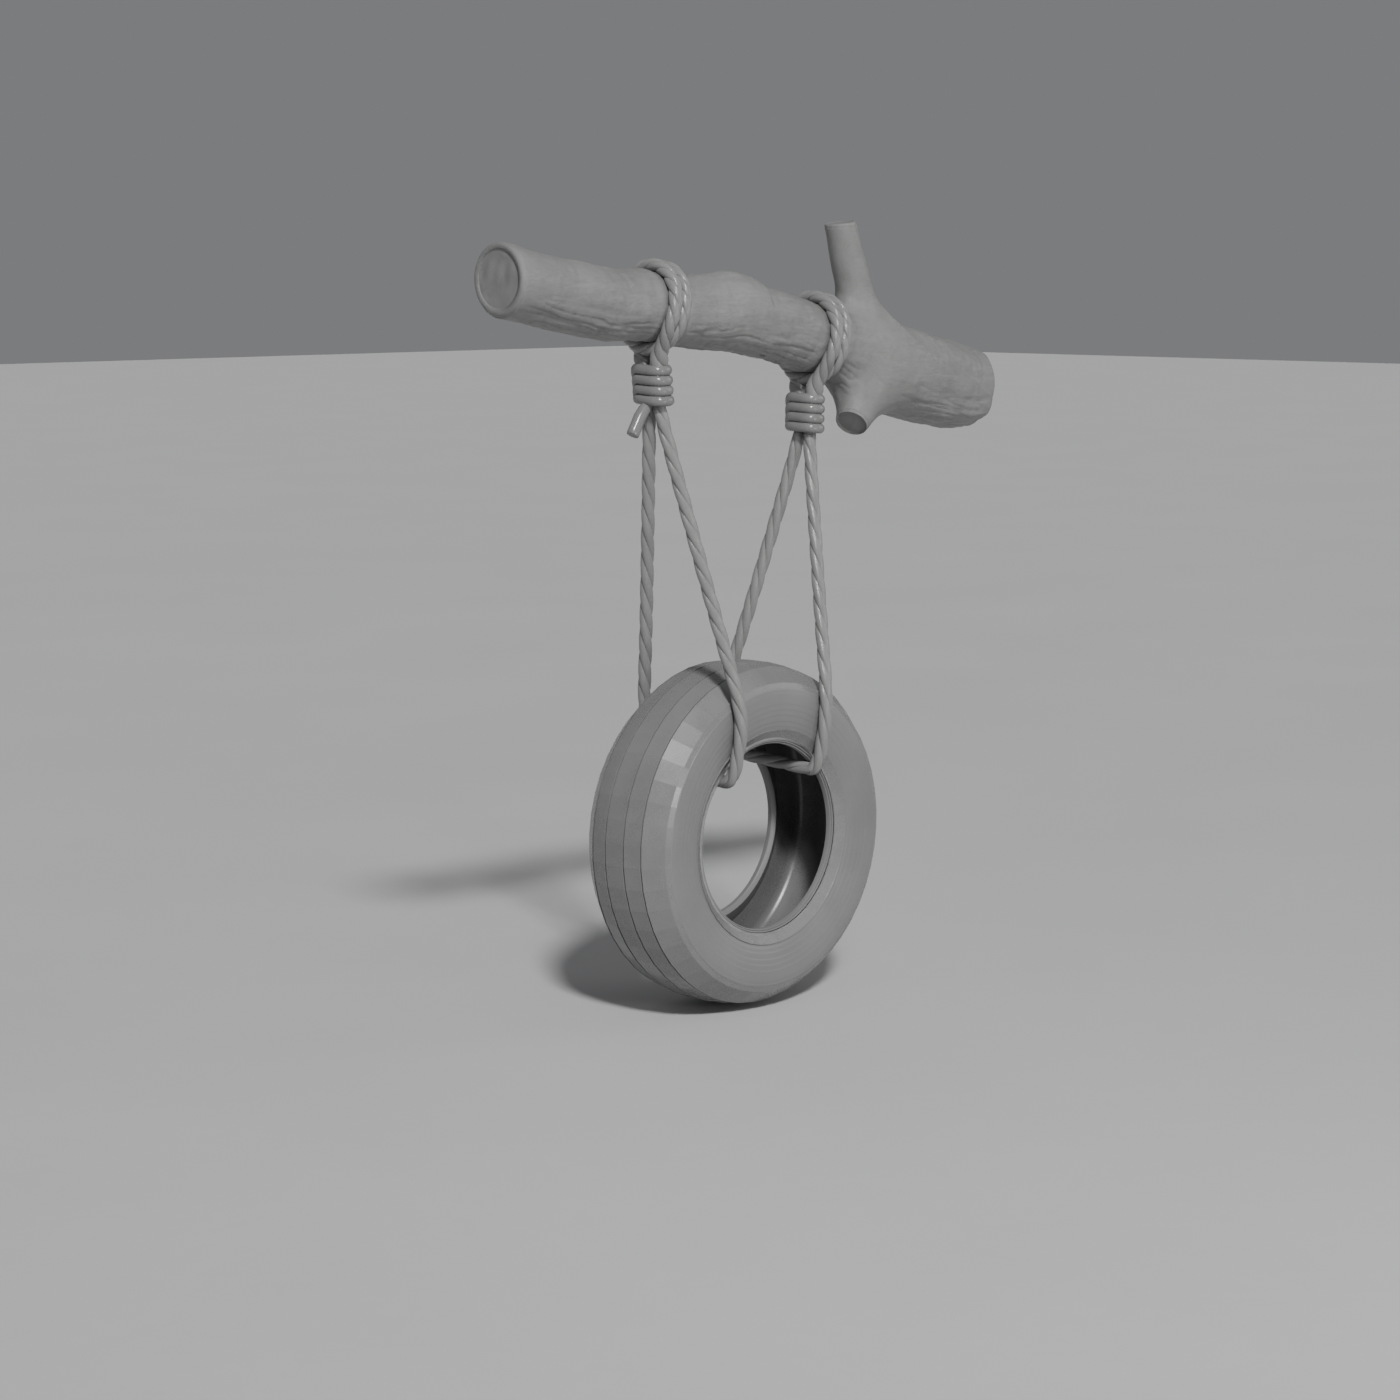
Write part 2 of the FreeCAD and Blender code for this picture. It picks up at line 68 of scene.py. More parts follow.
# the side branches: root, end, radius at each, and the way the sawn face looks
UPPER_STUB = ((-0.312, 0.0, 0.090), (-0.390, 0.0, 0.318), 0.0365, 0.0298, (-0.14, 0.0, 0.99))
LOWER_STUB = ((-0.280, 0.0, 0.052), (-0.398, -0.039, -0.055), 0.062, 0.0310, (-0.707, -0.238, -0.665))
LEFT_TIE = (-0.887, 0.166, 0.061)       # centre x, centre z, limb radius under the turns
RIGHT_TIE = (-0.465, 0.104, 0.0635)
LEFT_KNOT = ((-0.891, 0.0674), (-0.884, -0.0040))       # x and z of a lashing's top and bottom
RIGHT_KNOT = ((-0.484, 0.0029), (-0.486, -0.0688))
ROPE_DIAMETER = 0.024
WHIPPING_DIAMETER = 0.0177
FIT = 0.0003
TYRE_CENTRE = (-0.670, -0.801)          # x, z
TYRE_RADIUS = 0.321
TYRE_HALF_WIDTH = 0.1035
WIDEST_RADIUS = 0.262
CROWN_ARC = 0.176
RIM_EDGE = (0.0939, 0.1937)             # distance from the middle plane, radius
BEAD_RADIUS = 0.1724
BEAD_TOP_RADIUS = 0.214
TREAD_HALF_WIDTH = 0.067
GROOVES = (-0.061, -0.023, 0.023, 0.061)
RIB_RADIUS = (0.3188, 0.3125)           # over the inner and the outer grooves
SHOULDER_EDGES = ((0.097, 0.2862), (0.1015, 0.2756))
BAND_TOP = (0.0952, 0.1990)             # the faceted band between sidewall and lip
BAND_FOOT = (0.0812, 0.1802)
FLOOR_HEIGHT = -1.127
FLOOR_REACH = 30.0
NECK_REACH = (0.064, 0.115)             # from a tie's end: its swelling starts to fade, and is gone
CAP_HEIGHT = 0.005                      # the bark skin stops this far short of a sawn end's rim

# The two rope loops below the lashings, lashing to tyre, under the beads and back up.
LEFT_SLING_ROUTE = [
    (-0.8840, -0.0122, -0.0040),
    (-0.8826, -0.0122, -0.0179),
    (-0.8072, -0.0919, -0.4214),
    (-0.7812, -0.1232, -0.5603),
    (-0.7812, -0.1062, -0.6498),
    (-0.7812, -0.0980, -0.6708),
    (-0.7812, -0.0880, -0.6856),
    (-0.7821, -0.0680, -0.6867),
    (-0.7881, 0.0680, -0.6930),
    (-0.7890, 0.0880, -0.6937),
    (-0.7890, 0.0980, -0.6789),
    (-0.7890, 0.1062, -0.6578),
    (-0.7890, 0.1232, -0.5641),
    (-0.8129, 0.0919, -0.4247),
    (-0.8826, 0.0122, -0.0179),
    (-0.8840, 0.0122, -0.0040),
]
RIGHT_SLING_ROUTE = [
    (-0.4860, -0.0122, -0.0688),
    (-0.4864, -0.0122, -0.0828),
    (-0.5349, -0.0882, -0.4232),
    (-0.5548, -0.1232, -0.5622),
    (-0.5548, -0.1062, -0.6537),
    (-0.5548, -0.0980, -0.6748),
    (-0.5548, -0.0880, -0.6896),
    (-0.5567, -0.0680, -0.6881),
    (-0.5695, 0.0680, -0.6765),
    (-0.5714, 0.0880, -0.6746),
    (-0.5714, 0.0980, -0.6598),
    (-0.5714, 0.1062, -0.6387),
    (-0.5714, 0.1232, -0.5547),
    (-0.5466, 0.0886, -0.4167),
    (-0.4864, 0.0122, -0.0828),
    (-0.4860, 0.0122, -0.0688),
]


# ---- settings ----------------------------------------------------------------------------------
class RopeLook(bpy.types.PropertyGroup):
    lay_length: FloatProperty(name="Lay length", description="One full turn of a strand along a taut leg",
                              default=0.150, unit="LENGTH")
    tie_lay_length: FloatProperty(name="Tie lay length", description="One full turn of a strand in a tie",
                                  default=0.088, unit="LENGTH")
    thickness: FloatProperty(name="Thickness", description="Strands' size against the design size",
                             default=1.05)
    neck_swell: FloatProperty(name="Neck swell", description="How much a tie thickens above its lashing",
                              default=0.38)
    strand_offset: FloatProperty(name="Strand offset", description="Rope centre to strand centre",
                                 default=0.0057, unit="LENGTH")
    strand_height: FloatProperty(name="Strand height", description="Half height of a strand, outwards",
                                 default=0.0063, unit="LENGTH")
    strand_width: FloatProperty(name="Strand width", description="Half width of a strand, round the rope",
                                default=0.0077, unit="LENGTH")
    wraps: IntProperty(name="Wraps", description="Turns of whipping cord in a lashing", default=4)


class LimbLook(bpy.types.PropertyGroup):
    voxel: FloatProperty(name="Grain size", description="Size of the limb mesh's faces", default=0.0032,
                         unit="LENGTH")
    furrow_depth: FloatProperty(name="Furrow depth", description="Depth of the long shallow furrows",
                                default=0.0011, unit="LENGTH")
    lump_height: FloatProperty(name="Lump height", description="Height of the broad swellings",
                               default=0.0016, unit="LENGTH")
    collar: FloatProperty(name="Branch collar", description="Size of the fillet between limb and stub",
                          default=0.055, unit="LENGTH")


class TyreLook(bpy.types.PropertyGroup):
    facets: IntProperty(name="Tread facets", description="Flat facets round the tread", default=48)
    fineness: IntProperty(name="Fineness", description="Sidewall segments for each tread facet", default=4)
    groove_width: FloatProperty(name="Groove width", description="Width of a tread groove", default=0.0034,
                                unit="LENGTH")
    groove_depth: FloatProperty(name="Groove depth", description="Depth of a tread groove", default=0.0065,
                                unit="LENGTH")
    step: FloatProperty(name="Sidewall step", description="Height of the sidewall's fine steps",
                        default=0.0004, unit="LENGTH")


class StageLook(bpy.types.PropertyGroup):
    azimuth: FloatProperty(name="Camera azimuth", description="Camera direction round the object",
                           default=math.radians(-45.99), subtype="ANGLE")
    elevation: FloatProperty(name="Camera elevation", description="Camera height above the horizon",
                             default=math.radians(8.12), subtype="ANGLE")
    distance: FloatProperty(name="Camera distance", description="Camera to target", default=5.71323,
                            unit="LENGTH")
    lens: FloatProperty(name="Lens", description="Focal length in millimetres on a 36 mm sensor",
                        default=80.55)


# ---- mesh helpers ------------------------------------------------------------------------------
def new_object(name, vertices, faces, smooth=True, uvs=None):
    """A mesh object from arrays; uvs holds one pair for every face corner."""
    mesh = bpy.data.meshes.new(name)
    mesh.from_pydata([tuple(v) for v in vertices], [], [tuple(f) for f in faces])
    mesh.polygons.foreach_set("use_smooth", [smooth] * len(mesh.polygons))
    if uvs is not None:
        layer = mesh.uv_layers.new(name="lay")
        layer.data.foreach_set("uv", np.asarray(uvs, np.float32).ravel())
    mesh.update()
    obj = bpy.data.objects.new(name, mesh)
    bpy.context.scene.collection.objects.link(obj)
    return obj


def band_faces(rings, around, first=0, closed=False):
    """Quads that join consecutive rings of vertices; closed also joins the last ring to the first."""
    faces = []
    for i in range(rings if closed else rings - 1):
        a = first + i * around
        b = first + ((i + 1) % rings) * around
        for j in range(around):
            k = (j + 1) % around
            faces.append((a + j, a + k, b + k, b + j))
    return faces


def unit(vectors):
    return vectors / np.maximum(np.linalg.norm(vectors, axis=-1, keepdims=True), 1e-12)


def spline_line(name, route):
    """The points of a route's smooth line."""
    curve = bpy.data.curves.new(name, "CURVE")
    curve.dimensions = "3D"
    spline = curve.splines.new("NURBS")
    spline.points.add(len(route) - 1)
    for point, place in zip(spline.points, route):
        point.co = (*place, 1.0)
    spline.order_u = 3
    spline.use_endpoint_u = True
    spline.resolution_u = 24
    holder = bpy.data.objects.new(name, curve)
    mesh = bpy.data.meshes.new_from_object(holder)
    line = np.array([v.co for v in mesh.vertices])
    bpy.data.objects.remove(holder)
    bpy.data.curves.remove(curve)
    bpy.data.meshes.remove(mesh)
    return line


def even_line(line, step):
    """The same line with its points evenly spaced, and their distances along it."""
    run = np.concatenate([[0.0], np.cumsum(np.linalg.norm(np.diff(line, axis=0), axis=1))])
    count = max(int(round(run[-1] / step)), 2)
    along = np.linspace(0.0, run[-1], count + 1)
    return np.stack([np.interp(along, run, line[:, i]) for i in range(3)], axis=1), along


def carried_frames(line):
    """Directions across a line that are carried along it without twist."""
    tangents = unit(np.gradient(line, axis=0))
    across = np.cross(tangents[0], (1.0, 0.0, 0.0))
    normals = []
    for tangent in tangents:
        across = across - np.dot(across, tangent) * tangent
        across = across / np.linalg.norm(across)
        normals.append(across)
    normals = np.array(normals)
    return normals, np.cross(tangents, normals)


def swept(name, rings, along, smooth=True):
    """A capped tube through rings of vertices, with uv of turn and distance along."""
    count, around = rings.shape[:2]
    faces = band_faces(count, around)
    turn = np.arange(around) / around
    corners = []
    for i in range(count - 1):
        for j in range(around):
            u, w = turn[j], turn[j] + 1.0 / around
            corners += [(u, along[i]), (w, along[i]), (w, along[i + 1]), (u, along[i + 1])]
    last = (count - 1) * around
    faces += [tuple(range(around - 1, -1, -1)), tuple(range(last, last + around))]
    corners += [(0.0, along[0])] * around + [(0.0, along[-1])] * around
    return new_object(name, rings.reshape(-1, 3), faces, smooth, corners)


def joined(name, parts):
    """Several mesh objects as one; the first keeps its place in the scene."""
    bpy.ops.object.select_all(action="DESELECT")
    for part in parts:
        part.select_set(True)
    bpy.context.view_layer.objects.active = parts[0]
    bpy.ops.object.join()
    parts[0].name = name
    parts[0].data.name = name
    return parts[0]


# ---- shader helpers ----------------------------------------------------------------------------
def add_node(tree, kind, inputs=None, **settings):
    node = tree.nodes.new(kind)
    for key, value in settings.items():
        setattr(node, key, value)
    for key, value in (inputs or {}).items():
        if isinstance(value, bpy.types.NodeSocket):
            tree.links.new(value, node.inputs[key])
        else:
            node.inputs[key].default_value = value
    return node


def arithmetic(tree, operation, a, b):
    return add_node(tree, "ShaderNodeMath", {0: a, 1: b}, operation=operation).outputs[0]


def blended(tree, factor, low, high):
    """A value between low and high."""
    return add_node(tree, "ShaderNodeMapRange", {"Value": factor, "To Min": low, "To Max": high}).outputs[0]


def tinted(tree, factor, dark, light):
    """A colour between two colours."""
    mix = add_node(tree, "ShaderNodeMix", data_type="RGBA")
    tree.links.new(factor, mix.inputs[0])
    mix.inputs[6].default_value = (*dark, 1.0)
    mix.inputs[7].default_value = (*light, 1.0)
    return mix.outputs[2]


def grey(value, warmth=0.0):
    return (value * (1.0 + warmth), value, value * (1.0 - warmth))


def shader_group(name, inputs, outputs, build):
    """A shared node group, built once; inputs and outputs are (name, socket type, default)."""
    if name in bpy.data.node_groups:
        return bpy.data.node_groups[name]
    tree = bpy.data.node_groups.new(name, "ShaderNodeTree")
    for label, kind, default in inputs:
        socket = tree.interface.new_socket(name=label, in_out="INPUT", socket_type=kind)
        if default is not None:
            socket.default_value = default
    for label, kind in outputs:
        tree.interface.new_socket(name=label, in_out="OUTPUT", socket_type=kind)
    enter = tree.nodes.new("NodeGroupInput")
    leave = tree.nodes.new("NodeGroupOutput")
    for label, socket in build(tree, enter.outputs).items():
        tree.links.new(socket, leave.inputs[label])
    return tree


def use_group(tree, group, inputs):
    return add_node(tree, "ShaderNodeGroup", inputs, node_tree=group).outputs


def mottle_group():
    """Soft blotches over fine speckle, 0 to 1."""
    def build(tree, enter):
        broad = add_node(tree, "ShaderNodeTexNoise", {"Vector": enter["Vector"], "Scale": enter["Broad"],
                                                      "Detail": 3.0, "Roughness": 0.55})
        fine = add_node(tree, "ShaderNodeTexNoise", {"Vector": enter["Vector"], "Scale": enter["Fine"],
                                                     "Detail": 5.0, "Roughness": 0.6})
        mixed = arithmetic(tree, "ADD", arithmetic(tree, "MULTIPLY", broad.outputs[0], 0.62),
                           arithmetic(tree, "MULTIPLY", fine.outputs[0], 0.38))
        spread = add_node(tree, "ShaderNodeMapRange", {"Value": mixed, "From Min": 0.36, "From Max": 0.64})
        return {"Mask": spread.outputs[0], "Speckle": fine.outputs[0]}
    return shader_group("mottle", [("Vector", "NodeSocketVector", None), ("Broad", "NodeSocketFloat", 9.0),
                                   ("Fine", "NodeSocketFloat", 90.0)],
                        [("Mask", "NodeSocketFloat"), ("Speckle", "NodeSocketFloat")], build)


def mottled(tree, place, broad, fine):
    """Blotches and speckle at two scales, fixed to the object."""
    at = place.outputs["Object"]
    return use_group(tree, mottle_group(), {"Vector": at, "Broad": broad, "Fine": fine})


def grain_group():
    """Wood grain drawn out along X: long fibres, and wavy furrows between flat plates."""
    def build(tree, enter):
        drawn = add_node(tree, "ShaderNodeVectorMath", {0: enter["Vector"], 1: (0.09, 1.0, 1.0)},
                         operation="MULTIPLY")
        wander = add_node(tree, "ShaderNodeTexNoise", {"Vector": drawn.outputs[0], "Scale": 14.0,
                                                       "Detail": 2.0})
        shifted = add_node(tree, "ShaderNodeVectorMath", {0: wander.outputs[1], 1: wander.outputs[1],
                                                          2: drawn.outputs[0]}, operation="MULTIPLY_ADD")
        fibres = add_node(tree, "ShaderNodeTexNoise", {"Vector": shifted.outputs[0], "Scale": 260.0,
                                                       "Detail": 4.0, "Roughness": 0.65})
        plates = add_node(tree, "ShaderNodeTexNoise", {"Vector": shifted.outputs[0], "Scale": 62.0,
                                                       "Detail": 3.0, "Roughness": 0.5})
        ridged = arithmetic(tree, "ABSOLUTE", arithmetic(tree, "SUBTRACT", plates.outputs[0], 0.5), 0.0)
        furrow = add_node(tree, "ShaderNodeMapRange", {"Value": ridged, "From Max": 0.055})
        furrow.interpolation_type = "SMOOTHSTEP"
        height = arithmetic(tree, "ADD", arithmetic(tree, "MULTIPLY", furrow.outputs[0], 0.55),
                            arithmetic(tree, "MULTIPLY", fibres.outputs[0], 0.45))
        return {"Height": height, "Furrow": furrow.outputs[0], "Fibre": fibres.outputs[0]}
    return shader_group("wood_grain", [("Vector", "NodeSocketVector", None)],
                        [("Height", "NodeSocketFloat"), ("Furrow", "NodeSocketFloat"),
                         ("Fibre", "NodeSocketFloat")], build)


def rings_group():
    """Growth rings and drying checks of a sawn face, from a vector in the face's own plane."""
    def build(tree, enter):
        wander = add_node(tree, "ShaderNodeTexNoise", {"Vector": enter["Vector"], "Scale": 18.0,
                                                       "Detail": 3.0})
        reach = add_node(tree, "ShaderNodeVectorMath", {0: enter["Vector"]}, operation="LENGTH")
        shift = arithmetic(tree, "MULTIPLY", wander.outputs[0], 0.012)
        radius = arithmetic(tree, "ADD", reach.outputs["Value"], shift)
        wave = arithmetic(tree, "SINE", arithmetic(tree, "MULTIPLY", radius, 1500.0), 0.0)
        angle = add_node(tree, "ShaderNodeTexNoise", {"Vector": add_node(
            tree, "ShaderNodeVectorMath", {0: enter["Vector"]}, operation="NORMALIZE").outputs[0],
            "Scale": 7.0, "Detail": 2.0})
        check = add_node(tree, "ShaderNodeMapRange", {"Value": angle.outputs[0], "From Min": 0.62,
                                                      "From Max": 0.68})
        ring = arithmetic(tree, "MULTIPLY", arithmetic(tree, "ADD", wave, 1.0), 0.5)
        return {"Ring": ring, "Check": check.outputs[0]}
    return shader_group("growth_rings", [("Vector", "NodeSocketVector", None)],
                        [("Ring", "NodeSocketFloat"), ("Check", "NodeSocketFloat")], build)


def yarn_group():
    """Fine yarns that run along a strand, from its uv: turn round it and metres along it."""
    def build(tree, enter):
        slanted = add_node(tree, "ShaderNodeVectorMath", {0: enter["UV"], 1: enter["Draw"]},
                           operation="MULTIPLY")
        yarn = add_node(tree, "ShaderNodeTexNoise", {"Vector": slanted.outputs[0], "Scale": 1.0,
                                                     "Detail": 3.0, "Roughness": 0.6})
        band = add_node(tree, "ShaderNodeTexWave", {"Vector": slanted.outputs[0], "Scale": 0.35,
                                                    "Distortion": 2.4, "Detail": 2.0, "Detail Scale": 1.3},
                        bands_direction="X")
        height = arithmetic(tree, "ADD", arithmetic(tree, "MULTIPLY", yarn.outputs[0], 0.6),
                            arithmetic(tree, "MULTIPLY", band.outputs[1], 0.4))
        return {"Height": height, "Mask": yarn.outputs[0]}
    return shader_group("yarns", [("UV", "NodeSocketVector", None),
                                  ("Draw", "NodeSocketVector", (26.0, 60.0, 1.0))],
                        [("Height", "NodeSocketFloat"), ("Mask", "NodeSocketFloat")], build)


def edge_group():
    """Worn edges, and painted shade in the creases, 0 to 1."""
    def build(tree, enter):
        shape = add_node(tree, "ShaderNodeNewGeometry")
        worn = add_node(tree, "ShaderNodeMapRange", {"Value": shape.outputs["Pointiness"],
                                                     "From Min": 0.505, "From Max": enter["Sharp"]})
        # painted shade: 1 in concave creases, where the colour is darkened
        crease_shade = add_node(tree, "ShaderNodeMapRange", {"Value": shape.outputs["Pointiness"],
                                                     "From Min": 0.495, "From Max": 0.44})
        return {"Worn": worn.outputs[0], "Crease_shade": crease_shade.outputs[0]}
    return shader_group("edges", [("Sharp", "NodeSocketFloat", 0.56)],
                        [("Worn", "NodeSocketFloat"), ("Crease_shade", "NodeSocketFloat")], build)


# ---- materials ---------------------------------------------------------------------------------
def material(name, build):
    """A procedural material, built once; build returns colour, roughness, height and bump distance.

    The prefix keeps its name apart from the frame's own materials.
    """
    name = "look_" + name
    if name in bpy.data.materials:
        return bpy.data.materials[name]
    made = bpy.data.materials.new(name)
    made.use_nodes = True
    tree = made.node_tree
    surface = next(n for n in tree.nodes if n.type == "BSDF_PRINCIPLED")
    place = add_node(tree, "ShaderNodeTexCoord")
    look = build(tree, place)
    tree.links.new(look["colour"], surface.inputs["Base Color"])
    tree.links.new(look["roughness"], surface.inputs["Roughness"])
    bump = add_node(tree, "ShaderNodeBump", {"Height": look["height"], "Strength": look.get("strength", 0.6),
                                             "Distance": look["distance"]})
    tree.links.new(bump.outputs[0], surface.inputs["Normal"])
    for key, value in look.get("set", {}).items():
        surface.inputs[key].default_value = value
    return made


def bark_material():
    def build(tree, place):
        at = place.outputs["Object"]
        grain = use_group(tree, grain_group(), {"Vector": at})
        mottle = mottled(tree, place, 8.0, 70.0)
        edges = use_group(tree, edge_group(), {"Sharp": 0.58})
        tone = arithmetic(tree, "ADD", arithmetic(tree, "MULTIPLY", grain["Furrow"], 0.30),
                          arithmetic(tree, "MULTIPLY", mottle["Mask"], 0.45))
        tone = arithmetic(tree, "ADD", tone, arithmetic(tree, "MULTIPLY", grain["Fibre"], 0.35))
        # painted shade: the bark is darkened in its creases
        tone = arithmetic(tree, "SUBTRACT", tone, arithmetic(tree, "MULTIPLY", edges["Crease_shade"], 0.35))
        return {"colour": tinted(tree, tone, grey(0.150, 0.012), grey(0.232, 0.012)),
                "roughness": blended(tree, mottle["Mask"], 0.42, 0.58),
                "height": grain["Height"], "distance": 0.0011, "strength": 0.45,
                "set": {"Specular IOR Level": 0.42}}
    return material("weathered_bark", build)


def sawn_material():
    def build(tree, place):
        at = place.outputs["UV"]
        rings = use_group(tree, rings_group(), {"Vector": at})
        mottle = mottled(tree, place, 26.0, 240.0)
        tone = arithmetic(tree, "ADD", arithmetic(tree, "MULTIPLY", rings["Ring"], 0.10),
                          arithmetic(tree, "MULTIPLY", mottle["Mask"], 0.6))
        tone = arithmetic(tree, "SUBTRACT", tone, arithmetic(tree, "MULTIPLY", rings["Check"], 0.15))
        height = arithmetic(tree, "SUBTRACT", arithmetic(tree, "MULTIPLY", rings["Ring"], 0.10),
                            arithmetic(tree, "MULTIPLY", rings["Check"], 0.2))
        return {"colour": tinted(tree, tone, grey(0.170, 0.012), grey(0.222, 0.012)),
                "roughness": blended(tree, mottle["Speckle"], 0.55, 0.72),
                "height": height, "distance": 0.0003, "strength": 0.2,
                "set": {"Specular IOR Level": 0.35}}
    return material("sawn_wood", build)


def rope_material():
    def build(tree, place):
        yarns = use_group(tree, yarn_group(), {"UV": place.outputs["UV"]})
        mottle = mottled(tree, place, 14.0, 320.0)
        edges = use_group(tree, edge_group(), {"Sharp": 0.60})
        tone = arithmetic(tree, "ADD", arithmetic(tree, "MULTIPLY", yarns["Mask"], 0.6),
                          arithmetic(tree, "MULTIPLY", mottle["Mask"], 0.35))
        # painted shade: the rope is darkened in the creases between strands
        tone = arithmetic(tree, "SUBTRACT", tone, arithmetic(tree, "MULTIPLY", edges["Crease_shade"], 0.3))
        return {"colour": tinted(tree, tone, grey(0.165, 0.01), grey(0.262, 0.01)),
                "roughness": blended(tree, yarns["Mask"], 0.17, 0.32),
                "height": yarns["Height"], "distance": 0.0006, "strength": 0.5,
                "set": {"Specular IOR Level": 0.5, "Sheen Weight": 0.08, "Sheen Roughness": 0.5}}
    return material("laid_rope", build)


def whipping_material():
    def build(tree, place):
        yarns = use_group(tree, yarn_group(), {"UV": place.outputs["UV"], "Draw": (9.0, 40.0, 1.0)})
        mottle = mottled(tree, place, 22.0, 260.0)
        tone = arithmetic(tree, "ADD", arithmetic(tree, "MULTIPLY", yarns["Mask"], 0.35),
                          arithmetic(tree, "MULTIPLY", mottle["Mask"], 0.45))
        return {"colour": tinted(tree, tone, grey(0.150, 0.01), grey(0.215, 0.01)),
                "roughness": blended(tree, mottle["Speckle"], 0.13, 0.22),
                "height": yarns["Height"], "distance": 0.0003, "strength": 0.3,
                "set": {"Specular IOR Level": 0.5}}
    return material("whipping_cord", build)


def rubber_material(name, dark, light, rough, broad):
    def build(tree, place):
        mottle = mottled(tree, place, broad, 420.0)
        edges = use_group(tree, edge_group(), {"Sharp": 0.57})
        tone = arithmetic(tree, "ADD", arithmetic(tree, "MULTIPLY", mottle["Mask"], 0.7),
                          arithmetic(tree, "MULTIPLY", edges["Worn"], 0.4))
        # painted shade: the rubber is darkened in its creases and grooves
        tone = arithmetic(tree, "SUBTRACT", tone, arithmetic(tree, "MULTIPLY", edges["Crease_shade"], 0.3))
        return {"colour": tinted(tree, tone, grey(dark), grey(light)),
                "roughness": blended(tree, mottle["Mask"], rough, rough + 0.12),
                "height": mottle["Speckle"], "distance": 0.0002, "strength": 0.12,
                "set": {"Specular IOR Level": 0.5}}
    return material(name, build)


def tread_material():
    return rubber_material("tread_rubber", 0.150, 0.195, 0.22, 9.0)


def wall_material():
    return rubber_material("sidewall_rubber", 0.158, 0.205, 0.32, 6.0)


def shaded_liner_material():
    # painted shade: the liner gets a darker rubber than the outside, for the shade inside the tyre
    return rubber_material("liner_rubber", 0.120, 0.160, 0.22, 7.0)


def cord_ply_material():
    def build(tree, place):
        wave = add_node(tree, "ShaderNodeTexWave", {"Vector": place.outputs["Object"], "Scale": 320.0,
                                                    "Distortion": 0.6}, bands_direction="Y")
        mottle = mottled(tree, place, 12.0, 300.0)
        return {"colour": tinted(tree, mottle["Mask"], grey(0.11), grey(0.17)),
                "roughness": blended(tree, mottle["Speckle"], 0.5, 0.7),
                "height": wave.outputs[1], "distance": 0.0005, "strength": 0.6}
    return material("ply_cords", build)


def steel_material():
    def build(tree, place):
        wave = add_node(tree, "ShaderNodeTexWave", {"Vector": place.outputs["Object"], "Scale": 400.0,
                                                    "Distortion": 0.3}, bands_direction="DIAGONAL")
        mottle = mottled(tree, place, 20.0, 500.0)
        return {"colour": tinted(tree, mottle["Mask"], grey(0.42), grey(0.56)),
                "roughness": blended(tree, mottle["Speckle"], 0.28, 0.42),
                "height": wave.outputs[1], "distance": 0.0003, "strength": 0.5, "set": {"Metallic": 1.0}}
    return material("wire_steel", build)


def paint(obj, made):
    """Gives an object one material, in place of any it came with."""
    obj.data.materials.clear()
    obj.data.materials.append(made)
    return obj


# ---- ropes -------------------------------------------------------------------------------------
def laid_rope(name, line, look, lay, phase=0.0, swell=0.0):
    """Three strands laid round a line, each an oval tube; swell thickens both ends."""
    line, along = even_line(line, min(lay / 30.0, 0.004))
    normals, binormals = carried_frames(line)
    around = 14
    near_end = np.minimum(along, along[-1] - along)
    thick = (look.thickness * (1.0 + swell * (1.0 - smooth_step(near_end, *NECK_REACH))))[:, None]
    turn = np.linspace(0.0, 2.0 * math.pi, around, endpoint=False)
    strands = []
    for k in range(3):
        angle = phase + 2.0 * math.pi * (k / 3.0 - along / lay)
        out = normals * np.cos(angle)[:, None] + binormals * np.sin(angle)[:, None]
        centre = line + out * look.strand_offset * thick
        run = unit(np.gradient(centre, axis=0))
        out = unit(out - np.sum(out * run, axis=1, keepdims=True) * run)
        side = np.cross(run, out)
        rings = (centre[:, None, :]
                 + (out * thick)[:, None, :] * (look.strand_height * np.cos(turn))[None, :, None]
                 + (side * thick)[:, None, :] * (look.strand_width * np.sin(turn))[None, :, None])
        strands.append(swept(name + "_strand", rings, along + k * 0.37))
    return joined(name, strands)


def swing_axis():
    """Unit vector from the left tie to the right tie."""
    axis = np.array([RIGHT_TIE[0] - LEFT_TIE[0], 0.0, RIGHT_TIE[1] - LEFT_TIE[1]])
    return axis / np.linalg.norm(axis)


def tie_route(tie, knot):
    """Up through the lashing, one and three quarter turns round the limb and down again."""
    rope_radius = ROPE_DIAMETER / 2.0
    strand = rope_radius + FIT / 2.0
    centre = np.array([tie[0], 0.0, tie[1]])
    axis = swing_axis()
    across = np.array([0.0, 1.0, 0.0])
    up = np.cross(axis, across)
    top = np.array([knot[0][0], 0.0, knot[0][1]])
    bottom = np.array([knot[1][0], 0.0, knot[1][1]])
    rise = unit(top - bottom)
    inside = bottom + rise * 0.014
    throat = top + rise * 0.001
    winding = tie[2] + FIT + rope_radius
    drop = tie[1] - throat[2]
    leaves = math.degrees(math.atan2(strand, drop) + math.acos(winding / math.hypot(strand, drop)))
    step = 360.0 / 16
    first = leaves + step / 2.0
    last = 720.0 - first
    count = round((last - first) / step)
    corner = winding / math.cos(math.radians(step / 2.0))
    points = [inside - across * strand, throat - across * strand]
    for i in range(count + 1):
        angle = first + (last - first) * i / count
        a = math.radians(angle)
        shift = (ROPE_DIAMETER + FIT) * (angle - 360.0) / 360.0
        points.append(centre + axis * shift - across * corner * math.sin(a) - up * corner * math.cos(a))
    points += [throat + across * strand, inside + across * strand]
    return points


